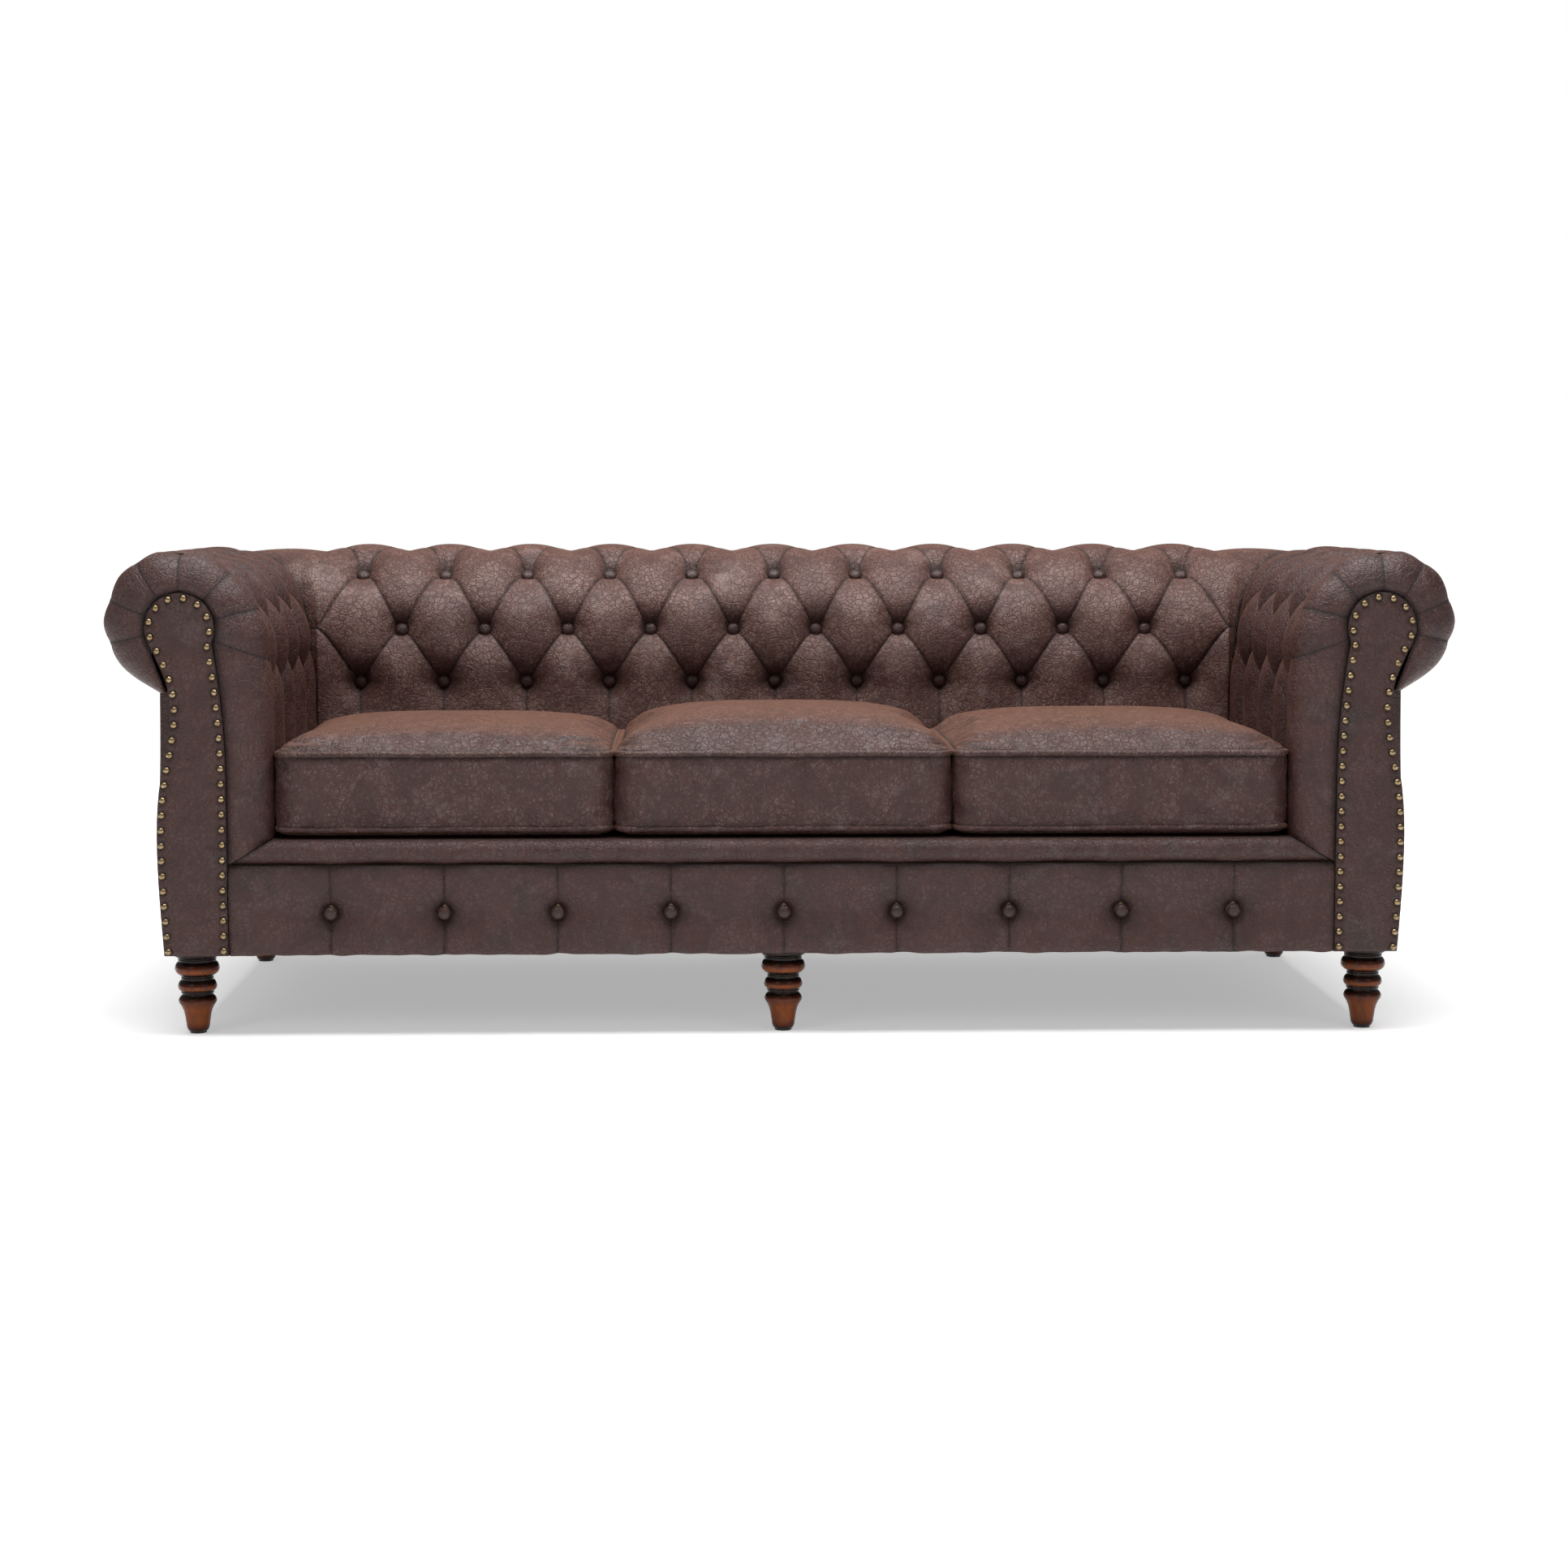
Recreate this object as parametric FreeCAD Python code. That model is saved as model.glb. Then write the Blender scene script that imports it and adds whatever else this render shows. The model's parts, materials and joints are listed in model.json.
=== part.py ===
import FreeCAD, Part
import math
import os
from FreeCAD import Vector

# Three-seat chesterfield sofa, in millimetres. Z is up, the sitter faces -Y, and X runs along the seat.
# The origin is on the floor, under the middle of the sofa.

# Overall size
LENGTH = 2060.0
DEPTH = 900.0
HALF = LENGTH / 2
FRONT = -DEPTH / 2
REAR = DEPTH / 2
LEG_HEIGHT = 126.0

# Where the upholstery stands
SEAT_HALF = 776.0            # from the middle to the inner face of each arm
BACK_FACE = 118.0            # inner face of the back, at its crowns
FACING_Y = FRONT + 3.5       # front of the flat arm facings, under the nail heads
ARM_FRONT = -400.0           # where the arm's roll starts to round over to the front
BASE_TOP = 264.0             # top of the front border and of the seat frame
LIP_TOP = 303.0
LIP_BACK = -414.0
OUTSIDE_ARM = 944.0          # outside face of the arm panels
OUTSIDE_BACK = 366.0         # rear face of the outside back
GAP = 0.3                    # clearance between pieces that only lie against each other

# Diamond tufting: crowns stand on the profile, pleats and buttons are drawn in from it
PLEAT_DEPTH = 24.0
BUTTON_DEPTH = 38.0
SEAM_DEPTH = 16.0
QUILT = 46.0                 # from the crowns to the flat inside of the quilted layer
BACK_STEP = SEAT_HALF / 11   # half the pitch of the back's buttons
ARM_STEP = (BACK_FACE - ARM_FRONT) / 8
SUBDIVISIONS = 3

# Rolled profile shared by back and arms, so that they meet on the corner seam. First the station along the
# profile, counted in rows of buttons from the lowest row, then how far across the roll, then the height.
PROFILE = (
    (-2.6, 0.0, 264.5),
    (-1.0, 0.0, 415.0),
    (0.0, 0.0, 507.0),
    (1.0, 0.006, 600.0),
    (1.55, 0.075, 662.0),
    (2.0, 0.225, 710.0),
    (3.0, 0.53, 740.0),
    (4.0, 0.83, 721.0),
    (5.0, 1.0, 640.0),
    (6.0, 0.90, 566.0),
    (7.0, 0.66, 525.0),
)
LAST_BUTTON_ROW = 2
LOW_STATIONS = (-2.6, -1.6, -1.0, -0.6, -0.3)
HIGH_STATIONS = (3.45, 4.0, 4.5, 5.0, 5.65, 6.3, 7.0)
FAN = (1 / 3, 2 / 3, 1.0)    # columns between the last button column and the corner seam

BUTTON_RADIUS = 11.0
BUTTON_DOME = 4.5
ROW_STEP = 92.0              # distance between rows of buttons, measured along the profile
ROUND_SIDES = 8              # sides of small round parts

# Arm facing, a keyhole outline, for the arm at +X
HEAD_X, HEAD_Z, HEAD_R = 909.0, 624.0, 53.0
HEAD_START, HEAD_STOP = 205.0, -28.0     # degrees, where the round head meets the neck
NECK = (929.0, 532.0)        # the narrowest place, on the outer side
NECK_INNER = (847.5, 498.0)  # a point of the inner side, between its straight length and the head
NECK_START = 394.0
HIPS = ((942.0, 394.0), (949.0, 269.0))  # the swell of the outer side below the neck
FACING_INNER = 843.0
FACING_OUTER = 941.0
FACING_THICK = 10.0
NAIL_RADIUS = 5.5
NAIL_INSET = 7.5
NAIL_PITCH = 23.0

# Where the arm's cover is drawn round to the front: how far forward, and how far from the roll to the facing
COLLAR = ((-422.0, 0.08), (-437.0, 0.34), (FACING_Y + 2.0, 1.0))
COLLAR_BACK = FACING_Y + FACING_THICK - 1.0
COLLAR_PLEAT = 6.0
COLLAR_CLEAR = 1.5

# Front border below the lip roll
BORDER_PITCH = 172.4
BORDER_BUTTONS = 9
BORDER_BUTTON_Z = 190.0
BORDER_LOW_ROW, BORDER_HIGH_ROW = 158.0, 228.0
BORDER_FLAT = 4.0            # depth of the plain ends beside the facings
BORDER_CROWN = FACING_Y + 3.0
BORDER_THICK = 19.0
BORDER_PLEAT = 7.0
BORDER_DIMPLE = 12.0

# Loose seat cushions
CUSHION_GAP = 2.0
CUSHION_SIDE = 1.5
CUSHION_WIDTH = (2 * (SEAT_HALF - CUSHION_SIDE) - 2 * CUSHION_GAP) / 3
CUSHION_FRONT = -428.0
CUSHION_BACK = 112.0
CUSHION_LOW = LIP_TOP + GAP
PIPING_LOW = 317.0
PIPING_HIGH = 432.0
CUSHION_CORNER = 30.0
CUSHION_WAIST = 3.0          # how far the boxed sides pull in between the two lines of piping
CUSHION_WALL = 8.0
PIPING_RADIUS = 4.5
COVER_INSET = 3.0            # from the outside of the piping to the cover
CROWNS = {"left": 470.0, "middle": 488.0, "right": 476.0}

# Feet: radius and height of the turned outline, from the glide up to the frame
LEG_OUTLINE = (
    (14.5, 3.0), (20.5, 30.0), (29.0, 49.0), (23.4, 61.0), (29.8, 73.0),
    (24.0, 86.0), (34.0, 101.0), (28.5, 114.0), (36.0, 124.0), (36.0, 130.0),
)
LEG_SIDES = 14
LEG_X = 900.5
LEG_Y = (-388.0, 326.0)
BOLT_RADIUS = 5.0
BOLT_LOW, BOLT_HIGH = 95.5, 187.0
GLIDE_RADIUS = 13.0
GLIDE_THICK = 3.0

# Outside panels
PANEL_THICK = 4.0
ARM_PANEL = (
    (-3.0, LEG_HEIGHT), (3.5, 195.0), (5.0, 269.0), (3.0, 340.0), (0.0, 410.0), (-2.0, 522.0),
)                            # how far outside OUTSIDE_ARM, and the height
BACK_PANEL_TOP = 534.0
BACK_PANEL_INSET = 6.0

# Timber frame. Boxes are x0, x1, y0, y1, z0, z1, and side pieces are those at +X.
FRAME_Z = 130.0
RAIL_TOP = 264.0
LOW_RAIL_TOP = 240.0
RAIL_THICK = 24.0
POST_INSET = 10.0
POST_FRONT = FACING_Y + FACING_THICK + GAP
POST_BACK = POST_FRONT + 28.0
BEHIND_BORDER = BORDER_CROWN + BORDER_THICK + 0.5
CORE_LOW = 568.0             # top of the uprights, where the roll's core starts
FOAM_BACK_Y = 208.0
FOAM_BACK_X = 862.0
RAIL_INNER = 922.3
RAIL_OUTER = RAIL_INNER + 13.5
TOP_RAIL = (-850.0, 850.0, 262.0, 312.0, CORE_LOW, CORE_LOW + 32.0)
ARM_BOARD = (886.0, 922.0, POST_BACK + GAP, 256.0, CORE_LOW, CORE_LOW + 20.0)
BACK_RAIL_Y = (340.0, OUTSIDE_BACK - 4.5)
SEAT_RAIL_Y = (92.0, 117.0)
SEAT_RAIL_LOW = 190.0
TUCK_HALF = 850.0
TUCK_Z = (266.0, 300.0)
UPRIGHT_X = (-600.0, -200.0, 200.0, 600.0)
UPRIGHT_HALF = 20.0
UPRIGHT_DEPTH = 40.0
UPRIGHT_LEAN = 31.0
BLOCK_TOP = 196.0
BLOCK_BEFORE, BLOCK_BEHIND = 33.0, 36.0  # how far the leg blocks reach from the feet

# Seat suspension and webbing
SPRINGS_PER_CUSHION = 3
SPRING_WIRE = 4.0
SPRING_HALF_WIDTH = 22.0
SPRING_BENDS = 7
SPRING_TAIL = 22.0
CLIP_TOP = RAIL_TOP + SPRING_WIRE + 1.8
FELT_TOP = CLIP_TOP + 4.0
SPRING_Y = (BEHIND_BORDER + 12.0, SEAT_RAIL_Y[1] - 8.0)
WEB_HEIGHTS = (330.0, 410.0, 490.0)
WEB_WIDTH = 50.0
WEB_HALF = 840.0


# Small tools

def save(name, shape):
    os.makedirs("parts", exist_ok=True)
    shape.exportStep("parts/" + name + ".step")


def group(solids):
    return solids[0] if len(solids) == 1 else Part.makeCompound(solids)


def box(x0, x1, y0, y1, z0, z1):
    return Part.makeBox(x1 - x0, y1 - y0, z1 - z0, Vector(x0, y0, z0))


def other_side(shape):
    return shape.mirror(Vector(0, 0, 0), Vector(1, 0, 0))


def prism(points, direction):
    return Part.Face(closed(points)).extrude(direction)


def ring(sides, radius, z, centre=(0.0, 0.0)):
    """Corners of a regular polygon lying at height z."""
    turn = 2 * math.pi / sides
    x, y = centre
    return [Vector(x + radius * math.cos(k * turn), y + radius * math.sin(k * turn), z) for k in range(sides)]


def closed(points):
    return Part.makePolygon(list(points) + [points[0]])


def bar(sides, radius, z0, z1, centre):
    return prism(ring(sides, radius, z0, centre), Vector(0, 0, z1 - z0))


def facet_solid(triangles):
    """One closed solid from triangles of points. Triangles that have shrunk to a line are left out."""
    index, points, faces = {}, [], []
    for corners in triangles:
        row = []
        for p in corners:
            key = (round(p.x, 2), round(p.y, 2), round(p.z, 2))
            if key not in index:
                index[key] = len(points)
                points.append(Vector(*key))
            row.append(index[key])
        if len(set(row)) == 3:
            faces.append(tuple(row))
    shell = Part.Shape()
    shell.makeShapeFromMesh((points, faces), 0.001)
    solid = Part.makeSolid(shell)
    if solid.Volume < 0:
        solid.reverse()
    return solid


def quad(a, b, c, d):
    """Two triangles of a four-cornered patch, split along a-c."""
    return [(a, b, c), (a, c, d)]


def strip(first, second):
    cells = []
    for j in range(len(first) - 1):
        cells += quad(first[j], second[j], second[j + 1], first[j + 1])
    return cells


def fan_from(point, row):
    return [(point, row[k], row[k + 1]) for k in range(len(row) - 1)]


def stacked(rings):
    """Solid through rings of corners, the lowest first, each going round the same way."""
    cells = [(a, c, b) for a, b, c in fan_from(rings[0][0], rings[0][1:])]
    for low, high in zip(rings, rings[1:]):
        cells += [(a, c, b) for a, b, c in strip(low + low[:1], high + high[:1])]
    return facet_solid(cells + fan_from(rings[-1][0], rings[-1][1:]))


# The rolled profile

def profile_curve():
    points = [Vector(across, 0, height) for _, across, height in PROFILE]
    # Across the roll is scaled while fitting, so that the curve bends evenly
    points = [Vector(p.x * (HALF - SEAT_HALF), 0, p.z) for p in points]
    curve = Part.BSplineCurve()
    curve.interpolate(Points=points, Parameters=[row[0] for row in PROFILE])
    return curve


CURVE = profile_curve()


def section_point(station, run, inward):
    """A point of the roll's section, drawn in by so much. run is the roll's width on this side of the sofa."""
    stretch = run / (HALF - SEAT_HALF)
    here = CURVE.value(station)
    along = CURVE.tangent(station)[0]
    tangent = Vector(along.x * stretch, 0, along.z).normalize()
    return here.x * stretch + tangent.z * inward, here.z - tangent.x * inward


def stations():
    rows = [i / SUBDIVISIONS for i in range((LAST_BUTTON_ROW + 1) * SUBDIVISIONS + 1)]
    return list(LOW_STATIONS) + rows + list(HIGH_STATIONS)


# The tufting

def to_pleat(value):
    return abs(value - round(value))


def swell(distance):
    return math.sin(math.pi * distance) ** 0.6


def sink(distance):
    return (1 - 2 * distance) ** 3


def tuft_depth(column, station):
    """How far the cover is drawn in. Buttons lie where column + row is even, pleats join them diagonally."""
    across = to_pleat(column / 2)
    if station < 0:
        pull = PLEAT_DEPTH * (1 - swell(across) ** 2)
        dimple = (BUTTON_DEPTH - PLEAT_DEPTH) * sink(across) ** 2 * max(0.0, 1 + station * 2)
        return (pull + dimple) * min(1.0, (station + 2.6) / 1.2)
    if station > 3:
        over = to_pleat((column - 1) / 2)
        fade = max(0.0, (4.6 - station) / 1.6)
        return 0.5 * PLEAT_DEPTH * (1 - swell(over) ** 2) * fade
    u = to_pleat((column + station) / 2)
    v = to_pleat((column - station) / 2)
    ease = 1 - 0.5 * max(0.0, station - 2)
    button = max(0.0, min(1.0, (3 - station) / 0.7))
    pull = PLEAT_DEPTH * ease * (1 - swell(u) * swell(v))
    return pull + (BUTTON_DEPTH - PLEAT_DEPTH) * button * sink(u) * sink(v)


def seam_depth(station):
    """The corner seam's depth, the same on both sides of it."""
    return SEAM_DEPTH * max(0.0, min(1.0, (station + 2.6) / 2.0, (7 - station) / 2.0))


def corner_depth(column, station, fan):
    swelling = 8.0 * math.sin(math.pi * fan) * max(0.0, min(1.0, (station - 1) / 1.5, (4.5 - station) / 1.5))
    return (1 - fan) * tuft_depth(column, station) + fan * seam_depth(station) - swelling


def tuft_patch(grid, depths, i, j):
    """The two triangles of one cell, folded along the pleat, or else along the higher diagonal."""
    a, b, c, d = grid[i][j], grid[i + 1][j], grid[i + 1][j + 1], grid[i][j + 1]
    first = depths[i][j] + depths[i + 1][j + 1]
    second = depths[i + 1][j] + depths[i][j + 1]
    pleat_first = min(depths[i][j], depths[i + 1][j + 1]) >= PLEAT_DEPTH * 0.8
    pleat_second = min(depths[i + 1][j], depths[i][j + 1]) >= PLEAT_DEPTH * 0.8
    along_first = pleat_first or (first <= second and not pleat_second)
    return quad(a, b, c, d) if along_first else quad(b, c, d, a)


def skin(grid, depths):
    cells = []
    for i in range(len(grid) - 1):
        for j in range(len(grid[0]) - 1):
            cells += tuft_patch(grid, depths, i, j)
    return cells


def on_seam_x(y):
    """Where the corner seam crosses this depth of the sofa."""
    return SEAT_HALF - GAP + max(0.0, y - BACK_FACE) * (HALF - SEAT_HALF) / (REAR - BACK_FACE)


def on_seam_y(x):
    return BACK_FACE - GAP + max(0.0, x - SEAT_HALF) * (REAR - BACK_FACE) / (HALF - SEAT_HALF)


def back_point(station, inward, x, fan=0.0):
    y, z = section_point(station, REAR - BACK_FACE, inward)
    y += BACK_FACE
    limit = on_seam_x(y)
    side = math.copysign(1.0, x)
    reach = min(abs(x), limit)
    return Vector(side * (reach + (limit - reach) * fan), y, z)


def inside_back_cover():
    """Quilted cover of the inside back, over the top roll and down to the outside back."""
    rows = stations()
    end = 11 * SUBDIVISIONS
    columns = [(-11.0, fan) for fan in reversed(FAN)]
    columns += [(k / SUBDIVISIONS, 0.0) for k in range(-end, end + 1)]
    columns += [(11.0, fan) for fan in FAN]
    grid, depths = [], []
    for column, fan in columns:
        depth_row = [corner_depth(column, s, fan) if fan else tuft_depth(column, s) for s in rows]
        depth_row[-1] = 0.0
        grid.append([back_point(s, d, column * BACK_STEP, fan) for s, d in zip(rows, depth_row)])
        depths.append(depth_row)
    left = [back_point(s, QUILT, -SEAT_HALF, 1.0) for s in rows]
    right = [back_point(s, QUILT, SEAT_HALF, 1.0) for s in rows]
    cells = skin(grid, depths)
    cells += strip(grid[-1], right)
    cells += strip(right, left)
    cells += strip(left, grid[0])
    for end_row, turned in ((0, False), (-1, True)):
        edge = [column[end_row] for column in grid] + [right[end_row]]
        fan_cells = fan_from(left[end_row], edge)
        cells += [(a, c, b) for a, b, c in fan_cells] if not turned else fan_cells
    return facet_solid(cells)


def beside_facing(x, z):
    """The point beside the facing's edge that a point of the arm's roll is drawn to, for the arm at +X."""
    clear = COLLAR_CLEAR
    reach = HEAD_R + clear
    if z < HEAD_Z - HEAD_R and x < HEAD_X:
        up = max(0.0, z - NECK_START) / (HEAD_Z - NECK_START)
        return FACING_INNER - clear + 22.0 * up * up, z
    angle = math.atan2(z - HEAD_Z, x - HEAD_X)
    stop = math.radians(HEAD_STOP)
    if math.radians(-90) < angle < stop:
        down = min(1.0, (stop - angle) / math.radians(43))
        start_x, start_z = HEAD_X + reach * math.cos(stop), HEAD_Z + reach * math.sin(stop)
        end_x, end_z = NECK[0] + 2 * clear, NECK[1] - 4.0
        bulge = 2 * clear * math.sin(math.pi * down)
        return start_x + (end_x - start_x) * down + bulge, start_z + (end_z - start_z) * down
    return HEAD_X + reach * math.cos(angle), HEAD_Z + reach * math.sin(angle)


def arm_point(station, inward, y, fan=0.0):
    x, z = section_point(station, HALF - SEAT_HALF, inward)
    x += SEAT_HALF
    limit = on_seam_y(x)
    reach = min(y, limit)
    return Vector(x, reach + (limit - reach) * fan, z)


def collar_point(station, y, share, depth):
    x, z = section_point(station, HALF - SEAT_HALF, depth)
    x += SEAT_HALF
    edge_x, edge_z = beside_facing(x, z)
    return Vector(x + (edge_x - x) * share, y, z + (edge_z - z) * share)


def lift_over_lip(p):
    """The bottom of the pleated band runs down diagonally from the lip roll to the facing."""
    run = (p.x - SEAT_HALF) / (FACING_INNER - SEAT_HALF)
    return Vector(p.x, p.y, LIP_TOP + 1.0 + (BASE_TOP - LIP_TOP) * max(0.0, min(1.0, run)))


def inside_arm_cover():
    """Quilted cover of the arm at +X, with the pleated band round its facing."""
    rows = stations()
    grid, depths = [], []
    for fan in reversed(FAN):
        depth_row = [corner_depth(7.0, s, fan) for s in rows]
        depth_row[-1] = 0.0
        grid.append([arm_point(s, d, BACK_FACE, fan) for s, d in zip(rows, depth_row)])
        depths.append(depth_row)
    for k in range(8 * SUBDIVISIONS, -1, -1):
        column = k / SUBDIVISIONS - 1.0
        depth_row = [tuft_depth(column, s) for s in rows]
        depth_row[-1] = 0.0
        line = [arm_point(s, d, ARM_FRONT + k / SUBDIVISIONS * ARM_STEP) for s, d in zip(rows, depth_row)]
        if k == 0:
            line[0] = lift_over_lip(line[0])
        grid.append(line)
        depths.append(depth_row)
    for y, share in COLLAR:
        pleats = [COLLAR_PLEAT * (1 - swell(to_pleat(s))) * (1 - share) if s > 0.5 else 0.0 for s in rows]
        pleats[-1] = 0.0
        line = [collar_point(s, y, share, d) for s, d in zip(rows, pleats)]
        line[0] = lift_over_lip(line[0])
        grid.append(line)
        depths.append(pleats)
    returned = [Vector(p.x, COLLAR_BACK, p.z) for p in grid[-1]]
    front = [arm_point(s, QUILT, COLLAR_BACK) for s in rows]
    front[0] = lift_over_lip(front[0])
    back = [arm_point(s, QUILT, BACK_FACE, 1.0) for s in rows]
    cells = skin(grid, depths)
    cells += strip(grid[-1], returned)
    cells += strip(returned, front)
    cells += strip(front, back)
    cells += strip(back, grid[0])
    straight = len(FAN) + 8 * SUBDIVISIONS
    for end_row, turned in ((0, False), (-1, True)):
        edge = [column[end_row] for column in grid]
        ends = fan_from(back[end_row], edge[:straight] + [front[end_row]])
        ends += fan_from(front[end_row], edge[straight - 1:] + [returned[end_row]])
        cells += [(a, c, b) for a, b, c in ends] if not turned else ends
    return facet_solid(cells)


# Buttons

def button(place, outward, steepness):
    """A covered button: its cone sits in the pit of the tuft, its face is a low dome."""
    rim = BUTTON_RADIUS * steepness
    outline = ((BUTTON_RADIUS, rim), (BUTTON_RADIUS * 0.62, rim + BUTTON_DOME))
    rings = [ring(ROUND_SIDES, radius, height) for radius, height in outline]
    rings = [corners + [corners[0]] for corners in rings]
    cells = [(Vector(0, 0, 0), b, a) for a, b in zip(rings[0], rings[0][1:])]
    cells += [(a, c, b) for a, b, c in strip(rings[0], rings[1])]
    cells += fan_from(rings[1][0], rings[1][1:-1])
    solid = facet_solid(cells)
    turn = FreeCAD.Rotation(Vector(0, 0, 1), outward)
    solid.Placement = FreeCAD.Placement(place + outward * GAP, turn)
    return solid


def tuft_steepness(column, row, step):
    """The steepest slope beside a button, which its cone has to clear."""
    reach = 1 / SUBDIVISIONS
    rise = BUTTON_DEPTH - tuft_depth(column + reach, row)
    rise_up = BUTTON_DEPTH - tuft_depth(column, row + reach)
    return math.hypot(rise / (reach * step), rise_up / (reach * ROW_STEP))


def outward_of(station, run):
    stretch = run / (HALF - SEAT_HALF)
    along = CURVE.tangent(station)[0]
    tangent = Vector(along.x * stretch, 0, along.z).normalize()
    return -tangent.z, tangent.x


def back_buttons():
    solids = []
    for row in range(LAST_BUTTON_ROW + 1):
        across, up = outward_of(row, REAR - BACK_FACE)
        for column in range(-10, 11):
            if (column + row) % 2:
                continue
            pit = back_point(row, BUTTON_DEPTH, column * BACK_STEP)
            slope = tuft_steepness(column, row, BACK_STEP)
            solids.append(button(pit, Vector(0, across, up), slope))
    return solids


def arm_buttons():
    solids = []
    for row in range(LAST_BUTTON_ROW + 1):
        across, up = outward_of(row, HALF - SEAT_HALF)
        for k in range(1, 8):
            if (k - 1 + row) % 2:
                continue
            pit = arm_point(row, BUTTON_DEPTH, ARM_FRONT + k * ARM_STEP)
            slope = tuft_steepness(k - 1, row, ARM_STEP)
            solids.append(button(pit, Vector(across, 0, up), slope))
    return solids


# Front border and lip roll

def border_depth(x, row):
    across = to_pleat(x / BORDER_PITCH)
    if abs(x) > (BORDER_BUTTONS // 2 + 0.5) * BORDER_PITCH:
        across = 0.5
    pleat = BORDER_PLEAT * (1 - swell(across))
    dimple = (BORDER_DIMPLE - BORDER_PLEAT) * sink(across) if row == 2 else 0.0
    edge = 3.0 if row in (0, 4) else 0.0
    return pleat + dimple + edge


def front_border_cover():
    end = FACING_INNER - 1.0
    heights = (LEG_HEIGHT, BORDER_LOW_ROW, BORDER_BUTTON_Z, BORDER_HIGH_ROW, BASE_TOP)
    count = BORDER_BUTTONS * 4
    inner = [BORDER_PITCH * (k - count / 2) / 4 for k in range(count + 1)]
    places = [-end] + inner + [end]
    grid = []
    for x in places:
        flat = abs(x) >= end
        line = []
        for row, z in enumerate(heights):
            depth = BORDER_FLAT if flat else border_depth(x, row)
            line.append(Vector(x, BORDER_CROWN + depth, z))
        grid.append(line)
    depths = [[p.y for p in line] for line in grid]
    back_y = BORDER_CROWN + BORDER_THICK
    left = [Vector(-end, back_y, z) for z in heights]
    right = [Vector(end, back_y, z) for z in heights]
    cells = skin(grid, depths)
    cells += strip(grid[-1], right)
    cells += strip(right, left)
    cells += strip(left, grid[0])
    middle = len(places) // 2
    for end_row, turned in ((0, False), (-1, True)):
        edge = [column[end_row] for column in grid]
        ends = fan_from(left[end_row], edge[:middle + 1] + [right[end_row]])
        ends += fan_from(right[end_row], edge[middle:])
        cells += [(a, c, b) for a, b, c in ends] if not turned else ends
    return facet_solid(cells)


def front_border_buttons():
    solids = []
    for k in range(BORDER_BUTTONS):
        x = (k - BORDER_BUTTONS // 2) * BORDER_PITCH
        quarter = BORDER_DIMPLE - border_depth(BORDER_PITCH / 4, 2)
        rise = (BORDER_DIMPLE - BORDER_PLEAT) / (BORDER_BUTTON_Z - BORDER_LOW_ROW)
        slope = math.hypot(quarter / (BORDER_PITCH / 4), rise) + 0.05
        pit = Vector(x, BORDER_CROWN + BORDER_DIMPLE, BORDER_BUTTON_Z)
        solids.append(button(pit, Vector(0, -1, 0), slope))
    return solids


def front_lip_roll():
    """Half-round roll along the seat front, its ends cut on the diagonal of the arm bands."""
    low, high = BASE_TOP + GAP, LIP_TOP - 0.5
    middle = (low + high) / 2
    front, back = FACING_Y + 2.0, LIP_BACK
    corner = front + 17.0
    arc = Part.Arc(Vector(0, corner, low), Vector(0, front, middle), Vector(0, corner, high)).toShape()
    wire = Part.Wire([
        arc,
        Part.LineSegment(Vector(0, corner, high), Vector(0, back, high)).toShape(),
        Part.LineSegment(Vector(0, back, high), Vector(0, back, low)).toShape(),
        Part.LineSegment(Vector(0, back, low), Vector(0, corner, low)).toShape(),
    ])
    roll = Part.Face(wire).extrude(Vector(2 * FACING_INNER, 0, 0))
    roll.translate(Vector(-FACING_INNER, 0, 0))
    clear = COLLAR_CLEAR
    wedge = prism(
        (
            Vector(SEAT_HALF - clear, FRONT - 10, LIP_TOP + 1.0),
            Vector(FACING_INNER - clear, FRONT - 10, BASE_TOP - 1.0),
            Vector(FACING_INNER + 30, FRONT - 10, BASE_TOP - 1.0),
            Vector(FACING_INNER + 30, FRONT - 10, LIP_TOP + 1.0),
        ),
        Vector(0, 100, 0),
    )
    behind = box(SEAT_HALF - clear, FACING_INNER + 30.0, COLLAR_BACK - 1.0, LIP_BACK + 1.0, low - 5.0, high + 5.0)
    return cut_all(roll, [wedge, other_side(wedge), behind, other_side(behind)])


# Arm facing and its nails

def facing_wire(inset):
    """The keyhole outline, drawn in by so much, for the arm at +X."""
    inner, outer, low = FACING_INNER + inset, FACING_OUTER - inset, LEG_HEIGHT + inset
    radius = HEAD_R - inset
    start = math.radians(HEAD_START)
    stop = math.radians(HEAD_STOP)

    def on_head(angle):
        return Vector(HEAD_X + radius * math.cos(angle), 0, HEAD_Z + radius * math.sin(angle))

    neck_in = Vector(NECK_INNER[0] + inset, 0, NECK_INNER[1])
    outer_points = [Vector(x - inset, 0, z) for x, z in (NECK,) + HIPS]
    inner_side = Part.Arc(Vector(inner, 0, NECK_START), neck_in, on_head(start))
    outer_side = Part.BSplineCurve()
    outer_side.interpolate([on_head(stop)] + outer_points + [Vector(outer, 0, low)])
    return Part.Wire([
        Part.LineSegment(Vector(inner, 0, low), Vector(inner, 0, NECK_START)).toShape(),
        inner_side.toShape(),
        Part.Arc(on_head(start), on_head(math.radians(90)), on_head(stop)).toShape(),
        outer_side.toShape(),
        Part.LineSegment(Vector(outer, 0, low), Vector(inner, 0, low)).toShape(),
    ])


def keyhole_board(inset, front, thick):
    board = Part.Face(facing_wire(inset)).extrude(Vector(0, thick, 0))
    board.translate(Vector(0, front, 0))
    return board


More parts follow.
